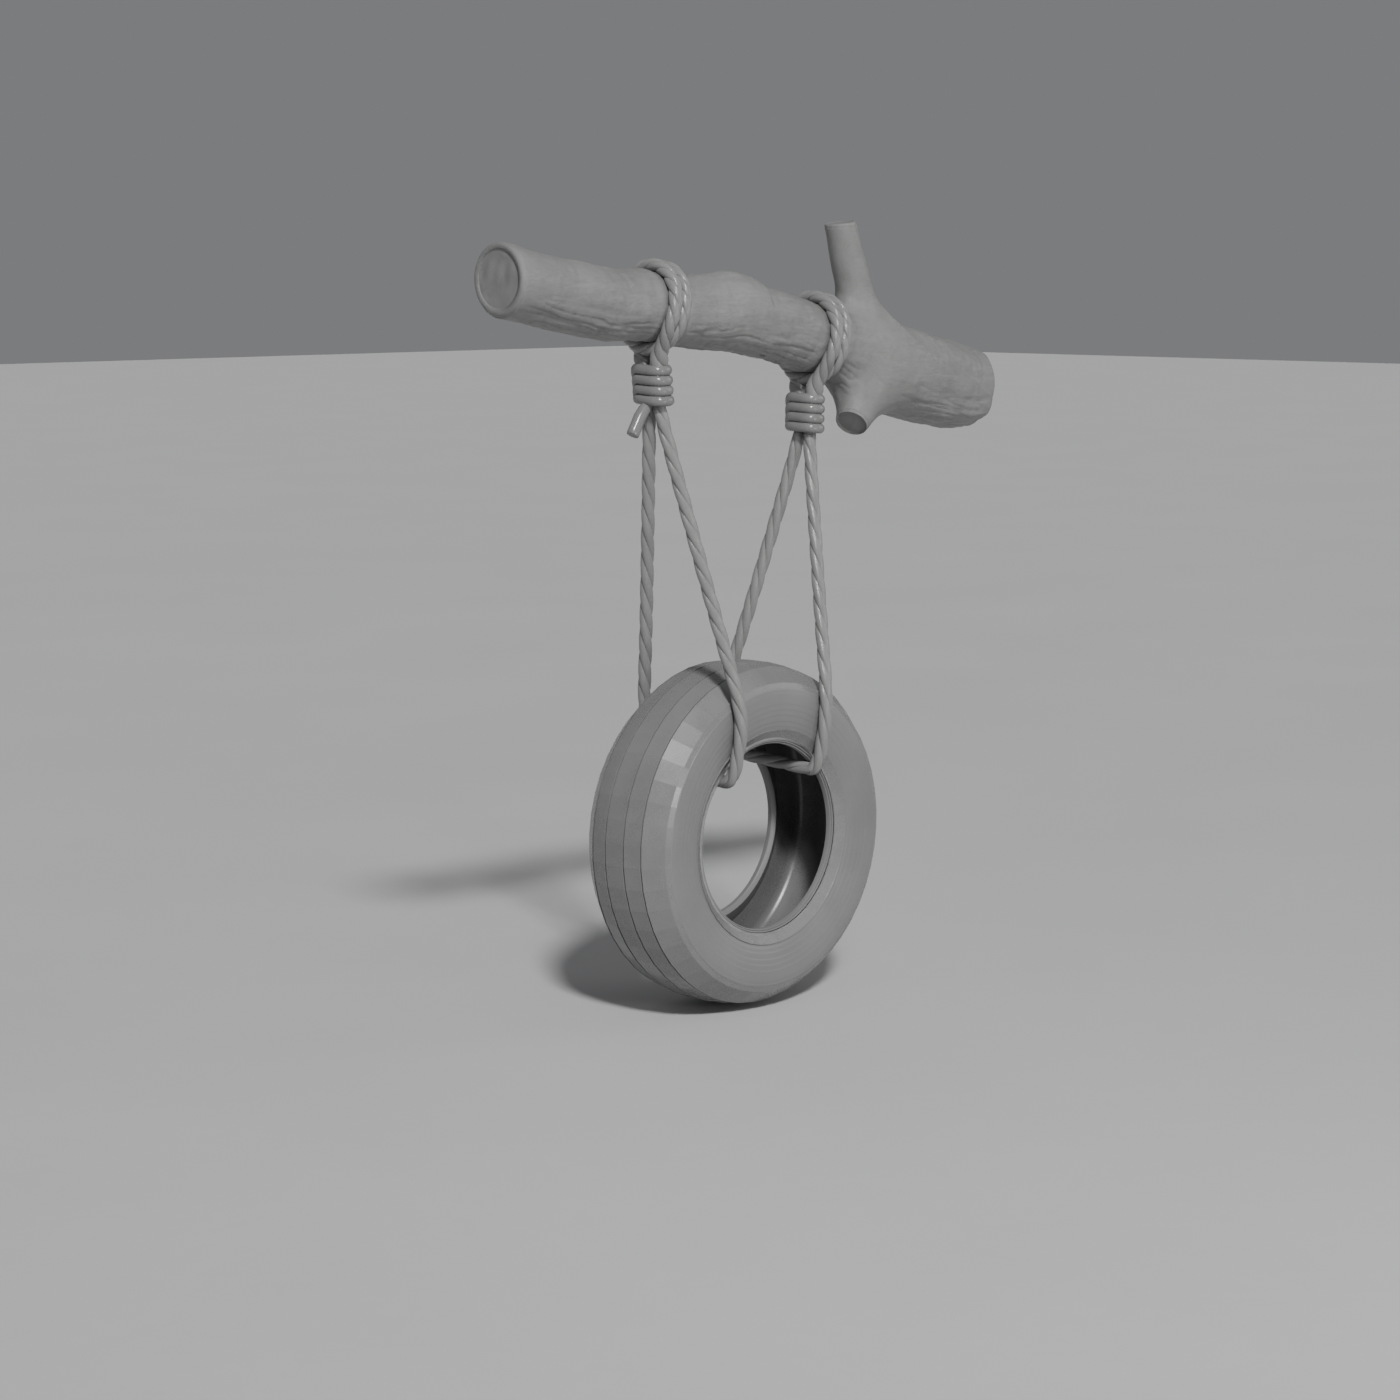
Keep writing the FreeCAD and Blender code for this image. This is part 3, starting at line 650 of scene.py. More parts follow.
def lashing_line(knot, wraps, seed, tilt):
    """A cord's line wound round the two strands of a tie, stepping down at the back."""
    rng = np.random.default_rng(seed)
    top = np.array([knot[0][0], 0.0, knot[0][1]])
    bottom = np.array([knot[1][0], 0.0, knot[1][1]])
    down = unit(bottom - top)
    across = np.array([0.0, 1.0, 0.0])
    side = np.cross(across, down)
    strand = ROPE_DIAMETER / 2.0 + FIT / 2.0
    reach = ROPE_DIAMETER / 2.0 + WHIPPING_DIAMETER / 2.0 - 0.0006
    pitch = (np.linalg.norm(bottom - top) - WHIPPING_DIAMETER) / (wraps - 1)
    nudges = rng.uniform(-0.0007, 0.0007, (wraps, 2))
    steps = 72
    points = []
    for i in range(wraps * steps + 1):
        turn, share = divmod(i / steps, 1.0)
        turn = min(int(turn), wraps - 1)
        share = share if i < wraps * steps else 1.0
        angle = 2.0 * math.pi * share + math.pi / 2.0
        ease = np.clip((share - 0.80) / 0.20, 0.0, 1.0)
        ease = ease * ease * (3.0 - 2.0 * ease)
        level = min(turn + ease, wraps - 1.0)
        follow = min(turn + 1, wraps - 1)
        nudge = nudges[turn] * (1.0 - ease) + nudges[follow] * ease
        flat = strand * math.tanh(3.0 * math.sin(angle))
        spread = reach * math.cos(angle) + nudge[0]
        depth = reach * math.sin(angle) + flat + nudge[1]
        slope = tilt * (spread * side[0] - depth) * (1.0 - ease)
        points.append(top + down * (WHIPPING_DIAMETER / 2.0 + pitch * level + slope)
                      + side * spread + across * depth)
    return np.array(points)


def cord_tube(name, line, high, deep, around=20):
    """A smooth cord with an oval section: high along the lashing, deep outwards."""
    line, along = even_line(line, 0.0022)
    tangents = unit(np.gradient(line, axis=0))
    down = unit(line[-1] - line[0] - np.array([0.0, line[-1][1] - line[0][1], 0.0]))
    outward = unit(np.cross(tangents, down))
    upright = np.cross(outward, tangents)
    turn = np.linspace(0.0, 2.0 * math.pi, around, endpoint=False)
    fade = np.clip(np.minimum(along, along[-1] - along) / 0.004, 0.35, 1.0)[:, None, None]
    rings = (line[:, None, :]
             + fade * upright[:, None, :] * (high * np.sin(turn))[None, :, None]
             + fade * outward[:, None, :] * (deep * np.cos(turn))[None, :, None])
    return swept(name, rings, along)


def tail_mesh(name):
    """The cut cord end below the left lashing, slightly flat, with a square end."""
    lean = math.radians(31.0)
    run = np.array([-math.sin(lean), 0.0, -math.cos(lean)])
    start = np.array([LEFT_KNOT[1][0] - ROPE_DIAMETER - FIT, 0.0, LEFT_KNOT[1][1] - 0.0031])
    side = np.cross(run, (0.0, 1.0, 0.0))
    stations = [(-0.010, 0.0098), (0.0, 0.0108), (0.006, 0.0117), (0.02, 0.0119), (0.036, 0.0117),
                (0.050, 0.0119), (0.0568, 0.0118), (0.0578, 0.0113)]
    around = 32
    turn = np.linspace(0.0, 2.0 * math.pi, around, endpoint=False)
    rings = []
    for distance, radius in stations:
        centre = start + run * distance + np.array([0.010, 0.0, 0.0]) * max(0.0, 1.0 - distance / 0.02) * 0.5
        wavy = radius * (1.0 + 0.012 * np.sin(3.0 * turn + distance * 60.0))
        rings.append(centre + side * (wavy * np.cos(turn))[:, None]
                     + np.array([0.0, 1.0, 0.0]) * (0.94 * wavy * np.sin(turn))[:, None])
    obj = swept(name, np.array(rings), np.array([s[0] for s in stations]))
    mark_sharp(obj, 40.0)
    return obj


def mark_sharp(obj, degrees):
    """Creases the shading at every edge that turns by more than an angle."""
    bpy.ops.object.select_all(action="DESELECT")
    obj.select_set(True)
    bpy.context.view_layer.objects.active = obj
    bpy.ops.object.shade_smooth_by_angle(angle=math.radians(degrees))


# ---- limb --------------------------------------------------------------------------------------
def waves(points, lengths, count, seed):
    """A smooth random field from -1 to 1 or so; lengths are its wavelengths along X, Y and Z."""
    rng = np.random.default_rng(seed)
    turn = rng.normal(size=(count, 3)) / np.array(lengths)
    phase = rng.uniform(0.0, 2.0 * math.pi, count)
    return np.sin(points @ (2.0 * math.pi * turn.T) + phase).sum(axis=1) / math.sqrt(count)


def smooth_min(a, b, size):
    h = np.clip(0.5 + 0.5 * (b - a) / size, 0.0, 1.0)
    return b + (a - b) * h - size * h * (1.0 - h)


def smooth_max(a, b, size):
    return -smooth_min(-a, -b, size)


def smooth_step(value, low, high):
    t = np.clip((value - low) / (high - low), 0.0, 1.0)
    return t * t * (3.0 - 2.0 * t)


def stem_stations():
    """Evenly spaced x, height and radius of the limb, with the kinks at its stations eased."""
    rows = np.array(LIMB_STATIONS)
    x = np.linspace(-0.05, LIMB_LENGTH + 0.05, 1356)
    kernel = np.hanning(27)
    kernel /= kernel.sum()
    eased = []
    for column in (1, 2):
        values = np.interp(x, rows[:, 0], rows[:, column])
        eased.append(np.convolve(np.pad(values, 13, mode="edge"), kernel, "valid"))
    return -x[::-1], eased[0][::-1], eased[1][::-1]


def stem_field(points, look, stations):
    """Distance outside the limb's stem, with its swellings, furrows and burl."""
    xs, heights, radii = stations
    slope = np.gradient(heights, xs)
    x = points[:, 0].copy()
    for _ in range(2):
        height = np.interp(x, xs, heights)
        rise = np.interp(x, xs, slope)
        x += ((points[:, 0] - x) + (points[:, 2] - height) * rise) / (1.0 + rise * rise)
    height = np.interp(x, xs, heights)
    rise = np.interp(x, xs, slope)
    lean = 1.0 / np.sqrt(1.0 + rise * rise)
    up = (points[:, 2] - height) / lean
    out = np.sqrt(points[:, 1] ** 2 + up ** 2)
    top = up / np.maximum(out, 1e-6)
    front = -points[:, 1] / np.maximum(out, 1e-6)
    local = np.stack([x, points[:, 1], up], axis=1)
    seat = np.minimum(smooth_step(np.abs(x - LEFT_TIE[0]), 0.027, 0.052),
                      smooth_step(np.abs(x - RIGHT_TIE[0]), 0.027, 0.052))
    beside = (np.exp(-((np.abs(x - LEFT_TIE[0]) - 0.036) / 0.010) ** 2)
              + np.exp(-((np.abs(x - RIGHT_TIE[0]) - 0.036) / 0.010) ** 2))
    under = smooth_step(-top, 0.05, 0.8)
    ends = smooth_step(x, -LIMB_LENGTH + 0.012, -LIMB_LENGTH + 0.075)
    seat = seat * ends
    calm = 1.0 - 0.8 * np.exp(-((x + 0.33) / 0.075) ** 2)
    furrow = waves(local, (0.26, 0.030, 0.030), 40, 5)
    grooves = -np.exp(-(furrow / 0.34) ** 2)
    lumps = waves(local, (0.17, 0.11, 0.11), 24, 9)
    knobs = waves(local, (0.060, 0.050, 0.050), 30, 3)
    relief = (look.lump_height * (lumps + 0.35 * knobs)
              + look.furrow_depth * calm * (0.35 + 1.7 * under) * (grooves + 0.4))
    burl = (smooth_step(x, -0.770, -0.690) * (1.0 - smooth_step(x, -0.656, -0.643))
            * smooth_step(top + 0.35 * front, 0.35, 1.0))
    waist = (smooth_step(x, -0.652, -0.640) * (1.0 - smooth_step(x, -0.57, -0.515))
             * smooth_step(top, 0.1, 0.9))
    turn = np.arctan2(up, points[:, 1])
    lobes = smooth_step(x, -0.26, -0.02) * (0.0022 * np.sin(3.0 * turn + 0.7)
                                            + 0.0018 * np.sin(5.0 * turn + 2.1 + 9.0 * x))
    butt_ridge = (smooth_step(x, -0.16, -0.03) * (1.0 - smooth_step(x, -0.02, 0.0))
                  * smooth_step(top, 0.4, 1.0))
    radius = np.interp(x, xs, radii) + seat * relief + 0.0008 + 0.0024 * beside
    radius += 0.0062 * burl - 0.0045 * waist + 0.003 * butt_ridge + lobes
    return (out - radius) * 0.96


def stub_field(points, stub, look, seed):
    """Distance outside a sawn side branch, whose foot spreads into the limb."""
    root = np.array(stub[0])
    end = np.array(stub[1])
    length = np.linalg.norm(end - root)
    run = (end - root) / length
    along = (points - root) @ run
    out = np.linalg.norm(points - root - along[:, None] * run, axis=1)
    share = np.clip(along / length, 0.0, 1.0)
    radius = stub[2] + (stub[3] - stub[2]) * share
    ends = 1.0 - smooth_step(along, length - 0.045, length - 0.012)
    radius += ends * look.lump_height * 0.8 * waves(points, (0.09, 0.09, 0.14), 20, seed)
    side = (out - radius) * 0.97
    face = smooth_max(side, (points - end) @ unit(np.array(stub[4])) + CAP_HEIGHT, 0.002)
    return smooth_max(face, -along - 0.01, 0.01)


def limb_field(points, look, stations):
    """Distance outside the whole limb: stem, stubs with their collars, and flat ends."""
    stem = stem_field(points, look, stations)
    upper = stub_field(points, UPPER_STUB, look, 11)
    lower = stub_field(points, LOWER_STUB, look, 13)
    body = smooth_min(smooth_min(stem, upper, look.collar * 1.1), lower, look.collar)
    body = smooth_max(body, points[:, 0], 0.022)
    return smooth_max(body, CAP_HEIGHT - LIMB_LENGTH - points[:, 0], 0.002)


def gradient_of(field, points):
    step = 0.0006
    slopes = []
    for axis in np.eye(3) * step:
        slopes.append((field(points + axis) - field(points - axis)) / (2.0 * step))
    return np.stack(slopes, axis=1)


def settle(points, field, rounds):
    """Moves points onto the field's zero surface."""
    for _ in range(rounds):
        value = field(points)
        slope = gradient_of(field, points)
        size = np.maximum(np.sum(slope * slope, axis=1), 0.15)
        move = slope * (value / size)[:, None]
        longest = np.maximum(np.linalg.norm(move, axis=1) / 0.012, 1.0)
        points = points - move / longest[:, None]
    return points


def remeshed(obj, voxel):
    """The object's mesh rebuilt from even voxels."""
    modifier = obj.modifiers.new("even", "REMESH")
    modifier.mode = "VOXEL"
    modifier.voxel_size = voxel
    graph = bpy.context.evaluated_depsgraph_get()
    mesh = bpy.data.meshes.new_from_object(obj.evaluated_get(graph))
    obj.modifiers.clear()
    old = obj.data
    obj.data = mesh
    bpy.data.meshes.remove(old)
    return obj


def vertices_of(obj):
    values = np.zeros(len(obj.data.vertices) * 3, np.float32)
    obj.data.vertices.foreach_get("co", values)
    return values.reshape(-1, 3).astype(float)


def set_vertices(obj, points):
    obj.data.vertices.foreach_set("co", points.astype(np.float32).ravel())
    obj.data.update()


def cone_rings(centres, radii, around=48):
    """Rings square to a line of centres, each with its radius."""
    centres = np.array(centres)
    normals, binormals = carried_frames(centres)
    turn = np.linspace(0.0, 2.0 * math.pi, around, endpoint=False)
    radii = np.array(radii)[:, None, None]
    return (centres[:, None, :] + radii * (normals[:, None, :] * np.cos(turn)[None, :, None]
                                           + binormals[:, None, :] * np.sin(turn)[None, :, None]))


def limb_blank(stations):
    """Rough overlapping tubes that the limb's mesh starts from."""
    xs, heights, radii = stations
    inside = np.where((xs < -0.0005) & (xs > -LIMB_LENGTH + 0.0005))[0][::12]
    centres = [(xs[i], 0.0, heights[i]) for i in inside]
    tubes = [swept("blank", cone_rings(centres, [radii[i] for i in inside]), np.zeros(len(inside)))]
    for stub in (UPPER_STUB, LOWER_STUB):
        ends = [np.array(stub[0]) * (1.0 - t) + np.array(stub[1]) * t for t in (0.0, 0.33, 0.66, 1.0)]
        sizes = [stub[2] * (1.0 - t) + stub[3] * t for t in (0.0, 0.33, 0.66, 1.0)]
        tubes.append(swept("blank", cone_rings(ends, sizes), np.zeros(4)))
    return joined("limb", tubes)


def limb_mesh(look):
    """The limb's bark as one skin, which stops short of the sawn ends."""
    stations = stem_stations()
    obj = limb_blank(stations)

    def field(points):
        return limb_field(points, look, stations)
    for _ in range(2):
        remeshed(obj, look.voxel)
        set_vertices(obj, settle(vertices_of(obj), field, 5))
    obj.data.polygons.foreach_set("use_smooth", [True] * len(obj.data.polygons))
    return obj


def sawn_end(name, centre, outward, run, radius, wall, dish, rounding, lump, seed):
    """A sawn end: a rim of bark, rounded over, and the end grain that lies inside it."""
    centre = np.array(centre)
    outward = unit(np.array(outward))
    run = np.array(run) / np.dot(run, outward)
    side = unit(np.cross(outward, (0.0, 1.0, 0.0)))
    other = np.cross(outward, side)
    around = 112
    turn = np.linspace(0.0, 2.0 * math.pi, around, endpoint=False)
    ring = side * np.cos(turn)[:, None] + other * np.sin(turn)[:, None]
    inner = radius - wall
    profile = [(inner * share, -dish) for share in np.linspace(0.02, 0.97, 26)]
    grain_rings = len(profile)
    for angle in np.linspace(0.0, math.pi / 2.0, 4):
        profile.append((inner + dish * 0.35 * math.sin(angle) * 0.8,
                        -dish * (0.9 - 0.75 * (1.0 - math.cos(angle)))))
    for angle in np.linspace(0.0, math.pi / 2.0, 8):
        profile.append((radius - rounding + rounding * math.sin(angle),
                        -rounding + rounding * math.cos(angle)))
    profile += [(radius + 0.0003, -CAP_HEIGHT - 0.002), (radius + 0.0001, -CAP_HEIGHT - 0.006),
                (radius - 0.0012, -CAP_HEIGHT - 0.012)]
    rings = []
    for reach, height in profile:
        flat = centre + ring * reach
        share = min(reach / inner, 1.0)
        lumps = waves(flat, (0.075, 0.075, 0.075), 24, seed)
        fade = float(1.0 - smooth_step(np.array(share), 0.80, 1.0))
        rings.append(flat + run * (height + lump * fade * lumps)[:, None])
    rings = np.array(rings)
    count = len(rings)
    faces = band_faces(count, around)
    faces.append(tuple(range(around - 1, -1, -1)))
    last = (count - 1) * around
    faces.append(tuple(range(last, last + around)))
    obj = new_object(name, rings.reshape(-1, 3), faces)
    layer = obj.data.uv_layers.new(name="plane")
    places = rings.reshape(-1, 3) - centre
    plane = np.stack([places @ side, places @ other], axis=1)
    corners = np.zeros(len(obj.data.loops), np.int32)
    obj.data.loops.foreach_get("vertex_index", corners)
    layer.data.foreach_set("uv", plane[corners].astype(np.float32).ravel())
    obj.data.materials.append(sawn_material())
    obj.data.materials.append(bark_material())
    slots = [0 if i < (grain_rings - 1) * around else 1 for i in range(len(faces))]
    slots[-2] = 0
    obj.data.polygons.foreach_set("material_index", slots)
    return obj


# ---- tyre --------------------------------------------------------------------------------------
def casing_arcs(crown, half_width, depth_at_edge):
    """Crown, shoulder and lower sidewall arcs of one layer of the tyre."""
    crown_arc = CROWN_ARC - (TYRE_RADIUS - crown)
    crown_centre = crown - crown_arc
    rise = WIDEST_RADIUS - crown_centre
    spare = crown_arc - half_width
    shoulder_y = (rise ** 2 - spare ** 2) / (2.0 * spare)
    shoulder_arc = half_width - shoulder_y
    inward = half_width - (RIM_EDGE[0] - depth_at_edge)
    down = WIDEST_RADIUS - RIM_EDGE[1]
    lower_arc = (inward ** 2 + down ** 2) / (2.0 * inward)
    return crown_centre, crown_arc, shoulder_y, shoulder_arc, lower_arc


def wall_profile(depth, end_radius, count):
    """Points (y, r) down one sidewall at a depth, from the tread's edge to end_radius."""
    half_width = TYRE_HALF_WIDTH - depth
    crown_centre, crown_arc, sy, shoulder, lower = casing_arcs(TYRE_RADIUS - depth, half_width, depth)
    points = []
    if TREAD_HALF_WIDTH > sy:
        start = math.acos(np.clip((TREAD_HALF_WIDTH - sy) / shoulder, -1.0, 1.0))
    else:
        to_shoulder = math.atan2(sy, WIDEST_RADIUS - crown_centre)
        for angle in np.linspace(math.asin(TREAD_HALF_WIDTH / crown_arc), to_shoulder, 4)[:-1]:
            points.append((crown_arc * math.sin(angle), crown_centre + crown_arc * math.cos(angle)))
        start = math.pi / 2.0 - to_shoulder
    for angle in np.linspace(start, 0.0, count):
        points.append((sy + shoulder * math.cos(angle), WIDEST_RADIUS + shoulder * math.sin(angle)))
    sweep = math.asin((WIDEST_RADIUS - end_radius) / lower)
    for angle in np.linspace(0.0, sweep, count)[1:]:
        points.append((half_width - lower + lower * math.cos(angle), WIDEST_RADIUS - lower * math.sin(angle)))
    return np.array(points)


def stepped(profile, step):
    """The sidewall's profile with a few fine steps."""
    radii = profile[:, 1]
    offset = np.zeros(len(radii))
    for at in (0.283, 0.272, 0.247, 0.236, 0.226, 0.214, 0.205):
        offset += step * smooth_step(radii, at - 0.0009, at + 0.0009)
    offset -= offset[np.argmin(np.abs(radii - 0.262))]
    slope = unit(np.gradient(profile, axis=0))
    outward = np.stack([-slope[:, 1], slope[:, 0]], axis=1)
    ends = smooth_step(radii, 0.1937, 0.200) * (1.0 - smooth_step(radii, 0.290, 0.300))
    return profile + outward * (offset * ends)[:, None]


def ring_mesh(name, profile, segments, side=1.0, offset=0.0):
    """A closed profile of (y, r) points turned round the tyre's axle line."""
    turn = np.linspace(0.0, 2.0 * math.pi, segments, endpoint=False) + offset
    rings = []
    for y, r in profile:
        rings.append(np.stack([TYRE_CENTRE[0] + r * np.sin(turn), np.full(segments, side * y),
                               TYRE_CENTRE[1] + r * np.cos(turn)], axis=1))
    faces = band_faces(len(rings), segments, closed=True)
    if side < 0:
        faces = [tuple(reversed(f)) for f in faces]
    return new_object(name, np.array(rings).reshape(-1, 3), faces)


def sidewall_mesh(name, side, look):
    """One sidewall with its steps, the lip and the toe, closed inside the casing."""
    outer = stepped(wall_profile(0.0, BAND_TOP[1], 64), look.step)
    outer = outer[outer[:, 1] < SHOULDER_EDGES[1][1] + 0.0015]
    outer[0] -= (0.0010, 0.0)
    foot = wall_profile(0.0094, BEAD_TOP_RADIUS, 8)[-1]
    bead = [(BAND_TOP[0] - 0.0006, BAND_TOP[1] - 0.0012), (BAND_TOP[0] - 0.0030, BAND_TOP[1] - 0.0030),
            (BAND_FOOT[0] - 0.0030, BAND_FOOT[1] + 0.0012), (BAND_FOOT[0] - 0.0026, BAND_FOOT[1] - 0.0010),
            (0.0818, BEAD_RADIUS + 0.0064), (0.0826, BEAD_RADIUS + 0.0054), (0.0824, BEAD_RADIUS + 0.0042),
            (0.0806, BEAD_RADIUS + 0.0034), (0.0790, BEAD_RADIUS + 0.0030), (0.0798, BEAD_RADIUS + 0.0018),
            (0.0796, BEAD_RADIUS + 0.0006), (0.0784, BEAD_RADIUS),
            (0.0700, BEAD_RADIUS), (0.0690, BEAD_RADIUS + 0.0010), (0.0662, BEAD_RADIUS + 0.0090),
            (foot[0], foot[1])]
    inner = wall_profile(0.0035, BEAD_TOP_RADIUS, 16)[::-1]
    inner = inner[inner[:, 1] < 0.268]
    profile = np.concatenate([outer, np.array(bead), inner])
    obj = ring_mesh(name, profile, look.facets * look.fineness, side)
    mark_sharp(obj, 32.0)
    return obj


def band_mesh(name, side, look):
    """The flat-faceted band between a sidewall and its lip."""
    top = (BAND_TOP[0] + 0.0002, BAND_TOP[1] + 0.0004)
    profile = [top, (BAND_FOOT[0], BAND_FOOT[1]), (BAND_FOOT[0] - 0.0020, BAND_FOOT[1] + 0.0008),
               (BAND_TOP[0] - 0.0050, BAND_TOP[1] - 0.0010)]
    obj = ring_mesh(name, np.array(profile), look.facets, side, math.pi / look.facets)
    obj.data.polygons.foreach_set("use_smooth", [False] * len(obj.data.polygons))
    return obj


def rib_radius(y):
    """The tread's face: flat ribs between the grooves, then the shoulder's two flats."""
    rows = [(0.0, RIB_RADIUS[0] + 0.0006), (GROOVES[2], RIB_RADIUS[0]), (GROOVES[3], RIB_RADIUS[1])]
    rows += SHOULDER_EDGES
    return float(np.interp(abs(y), [row[0] for row in rows], [row[1] for row in rows]))


def tread_mesh(name, look):
    """Ribs with four grooves between them and flat shoulders, in flat facets round the tyre."""
    half = look.groove_width / 2.0
    edges = list(SHOULDER_EDGES)
    profile = [(-y, r) for y, r in reversed(edges)]
    for y in GROOVES:
        top = rib_radius(y)
        profile += [(y - half, top), (y - half * 0.7, top - look.groove_depth),
                    (y + half * 0.7, top - look.groove_depth), (y + half, top)]
    profile += edges
    floor = [(0.0955, 0.2740), (0.0900, 0.2850), (0.0780, 0.2960), (0.0600, 0.3040), (0.0300, 0.3100)]
    profile += floor + [(-y, r) for y, r in reversed(floor)]
    obj = ring_mesh(name, np.array(profile), look.facets, 1.0, math.pi / look.facets)
    obj.data.polygons.foreach_set("use_smooth", [False] * len(obj.data.polygons))
    bevel = obj.modifiers.new("worn_edges", "BEVEL")
    bevel.width = 0.0004
    bevel.segments = 2
    bevel.limit_method = "ANGLE"
    bevel.angle_limit = math.radians(35.0)
    return obj


# ---- operators ---------------------------------------------------------------------------------
class SWING_OT_stage(bpy.types.Operator):
    """Makes the floor, the soft lights and the camera"""
    bl_idname = "swing.stage"
    bl_label = "Make stage"

    def execute(self, context):
        look = context.scene.swing_stage
        world = bpy.data.worlds.new("studio")
        world.use_nodes = True
        world.node_tree.nodes["Background"].inputs[0].default_value = (0.83, 0.84, 0.86, 1.0)
        world.node_tree.nodes["Background"].inputs[1].default_value = 0.24
        context.scene.world = world
        corners = [(x * FLOOR_REACH, y * FLOOR_REACH, FLOOR_HEIGHT)
                   for x, y in ((-1, -1), (1, -1), (1, 1), (-1, 1))]
        floor = new_object("floor", corners, [(0, 1, 2, 3)], False)
        paint(floor, floor_material())
        target = Vector((TYRE_CENTRE[0] - 0.09665, 0.0, TYRE_CENTRE[1] + 0.25535))
        sun("key", (-0.40, -0.62, 0.66), 3.1, math.radians(7.0))
        sun("fill", (0.80, -0.50, 0.30), 0.35, math.radians(30.0))
        lamp("glint", Vector((-0.9295, -0.099, -0.6935)), (0.0455, -0.9909, 0.1003), 3.4, 0.36, 16.0)
        lamp("edge", target, (-0.50, -0.72, 0.62), 3.4, 0.30, 18.0)
        camera = bpy.data.cameras.new("camera")
        camera.lens = look.lens
        camera.sensor_width = 36.0
        holder = bpy.data.objects.new("camera", camera)
        context.scene.collection.objects.link(holder)
        flat = math.cos(look.elevation)
        back = Vector((math.sin(look.azimuth) * flat, -math.cos(look.azimuth) * flat,
                       math.sin(look.elevation)))
        holder.location = target + back * look.distance
        holder.rotation_euler = (-back).to_track_quat("-Z", "Y").to_euler()
        context.scene.camera = holder
        return {"FINISHED"}


def floor_material():
    def build(tree, place):
        mottle = mottled(tree, place, 1.5, 30.0)
        return {"colour": tinted(tree, mottle["Mask"], grey(0.50), grey(0.52)),
                "roughness": blended(tree, mottle["Mask"], 0.75, 0.85),
                "height": mottle["Speckle"], "distance": 0.0002, "strength": 0.05,
                "set": {"Specular IOR Level": 0.2}}
    return material("pale_floor", build)


def lamp(name, target, direction, distance, size, power):
    """A soft square light that faces the object."""
    light = bpy.data.lights.new(name, "AREA")
    light.size = size
    light.energy = power
    holder = bpy.data.objects.new(name, light)
    bpy.context.scene.collection.objects.link(holder)
    direction = Vector(direction).normalized()
    holder.location = target + direction * distance
    holder.rotation_euler = (-direction).to_track_quat("-Z", "Y").to_euler()


def sun(name, direction, power, angle):
    """An even light from one side, soft by its angle."""
    light = bpy.data.lights.new(name, "SUN")
    light.energy = power
    light.angle = angle
    holder = bpy.data.objects.new(name, light)
    bpy.context.scene.collection.objects.link(holder)
    holder.rotation_euler = (-Vector(direction)).to_track_quat("-Z", "Y").to_euler()


class SWING_OT_slings(bpy.types.Operator):
    """Makes the two rope loops that carry the tyre"""
    bl_idname = "swing.slings"
    bl_label = "Make slings"

    def execute(self, context):
        look = context.scene.swing_rope
        for side, route, length, phase in (("left", LEFT_SLING_ROUTE, 1.600, 0.4),
                                           ("right", RIGHT_SLING_ROUTE, 1.455, 1.5)):
            line = spline_line(side + "_sling_line", route)
            obj = laid_rope(side + "_sling_rope", line, look, look.lay_length, phase)
            paint(obj, rope_material())
            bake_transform(obj)
            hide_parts(side + "_front_leg", side + "_back_leg", side + "_sling")
        return {"FINISHED"}


class SWING_OT_ties(bpy.types.Operator):
    """Makes the rope turns round the limb, the lashings under them and the loose tail"""
    bl_idname = "swing.ties"
    bl_label = "Make ties"

    def execute(self, context):
        look = context.scene.swing_rope
        for side, tie, knot, seed, tilt in (("left", LEFT_TIE, LEFT_KNOT, 4, 0.075),
                                            ("right", RIGHT_TIE, RIGHT_KNOT, 8, 0.05)):
            line = spline_line(side + "_tie_line", tie_route(tie, knot))
            rope = laid_rope(side + "_tie_rope", line, look, look.tie_lay_length, swell=look.neck_swell)
            paint(rope, rope_material())
            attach(rope, "hanger")
            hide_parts(side + "_limb_tie")
            wound = cord_tube(side + "_whipping", lashing_line(knot, look.wraps, seed, tilt), 0.0094, 0.0082)
            paint(wound, whipping_material())
            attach(wound, "hanger")
            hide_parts(side + "_lashing")
        tail = paint(tail_mesh("left_rope_tail"), whipping_material())
        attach(tail, "hanger")
        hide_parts("left_tail")
        return {"FINISHED"}


class SWING_OT_limb(bpy.types.Operator):
    """Makes the limb's bark skin and its sawn faces"""
    bl_idname = "swing.limb"
    bl_label = "Make limb"

    def execute(self, context):
        bark = paint(limb_mesh(context.scene.swing_limb), bark_material())
        bark.name = "limb_skin"
        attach(bark, "branch")
        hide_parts("limb_bark")
        tip = (-LIMB_LENGTH, 0.0, LIMB_STATIONS[-1][1])
        ends = [("tip_end", tip, (-1.0, 0.0, 0.0), (-0.976, 0.0, 0.218), LIMB_STATIONS[-1][2], 0.0135, 0.0020,
                 0.0070, 0.0008)]
        for name, stub, wall, dish, rounding in (("upper_end", UPPER_STUB, 0.0045, 0.0006, 0.0042),
                                                 ("lower_end", LOWER_STUB, 0.0034, 0.0050, 0.0014)):
            run = unit(np.array(stub[1]) - np.array(stub[0]))
            ends.append((name, stub[1], stub[4], tuple(run), stub[3], wall, dish, rounding, 0.0005))
        for i, end in enumerate(ends):
            cap = sawn_end(*end, 20 + i)
            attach(cap, "branch")
            if i == 0:
                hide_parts("limb_wood")
        return {"FINISHED"}


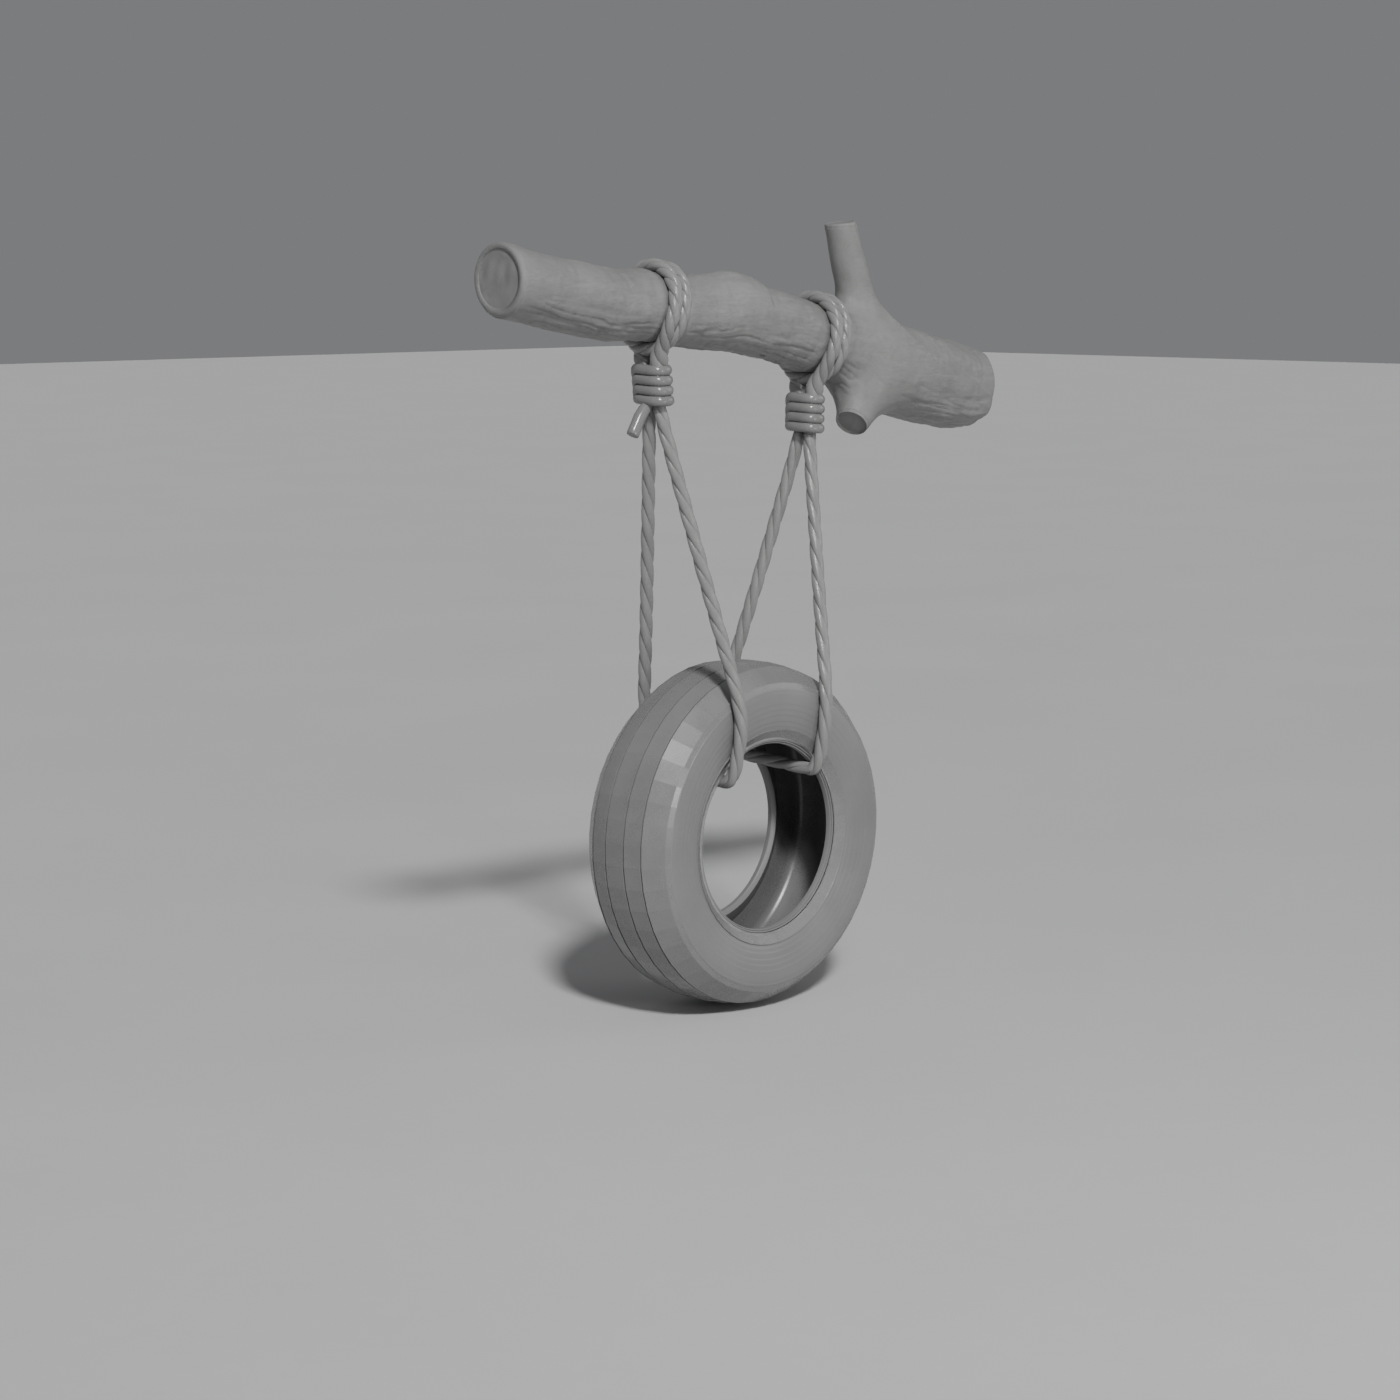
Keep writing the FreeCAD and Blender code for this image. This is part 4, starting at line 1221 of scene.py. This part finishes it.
class SWING_OT_tyre(bpy.types.Operator):
    """Makes the tread and the sidewalls, and finishes the tyre's inner layers"""
    bl_idname = "swing.tyre"
    bl_label = "Make tyre"

    def execute(self, context):
        look = context.scene.swing_tyre
        tread = paint(tread_mesh("tread_ribs", look), tread_material())
        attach(tread, "tyre")
        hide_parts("tread")
        for name, side in (("front", -1.0), ("back", 1.0)):
            wall = paint(sidewall_mesh(name + "_wall", side, look), wall_material())
            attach(wall, "tyre")
            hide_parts(name + "_sidewall")
            band = paint(band_mesh(name + "_band", side, look), tread_material())
            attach(band, "tyre")
        finishes = {"inner_liner": shaded_liner_material(), "carcass_ply": cord_ply_material(),
                    "upper_steel_belt": steel_material(), "lower_steel_belt": steel_material(),
                    "front_bead_core": steel_material(), "back_bead_core": steel_material(),
                    "front_bead_filler": wall_material(), "back_bead_filler": wall_material()}
        for node, finish in finishes.items():
            paint(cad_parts[node], finish)
        return {"FINISHED"}


class SWING_PT_panel(bpy.types.Panel):
    """The swing's settings and its makers"""
    bl_idname = "SWING_PT_panel"
    bl_label = "Tyre swing"
    bl_space_type = "VIEW_3D"
    bl_region_type = "UI"
    bl_category = "Tyre swing"

    def draw(self, context):
        for group in (context.scene.swing_rope, context.scene.swing_limb, context.scene.swing_tyre,
                      context.scene.swing_stage):
            box = self.layout.box()
            for key in group.__annotations__:
                box.prop(group, key)
        for operator in OPERATORS:
            self.layout.operator(operator.bl_idname)


SETTINGS = {"swing_rope": RopeLook, "swing_limb": LimbLook, "swing_tyre": TyreLook, "swing_stage": StageLook}
OPERATORS = (SWING_OT_stage, SWING_OT_slings, SWING_OT_ties, SWING_OT_limb, SWING_OT_tyre)


def register():
    for group in SETTINGS.values():
        bpy.utils.register_class(group)
    for name, group in SETTINGS.items():
        setattr(bpy.types.Scene, name, PointerProperty(type=group))
    for operator in OPERATORS:
        bpy.utils.register_class(operator)
    bpy.utils.register_class(SWING_PT_panel)


def unregister():
    bpy.utils.unregister_class(SWING_PT_panel)
    for operator in reversed(OPERATORS):
        bpy.utils.unregister_class(operator)
    for name in SETTINGS:
        delattr(bpy.types.Scene, name)
    for group in reversed(SETTINGS.values()):
        bpy.utils.unregister_class(group)


def main():
    register()
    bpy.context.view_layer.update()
    bpy.ops.swing.stage()
    bpy.ops.swing.slings()
    bpy.ops.swing.ties()
    bpy.ops.swing.limb()
    bpy.ops.swing.tyre()


if __name__ == "__main__":
    main()
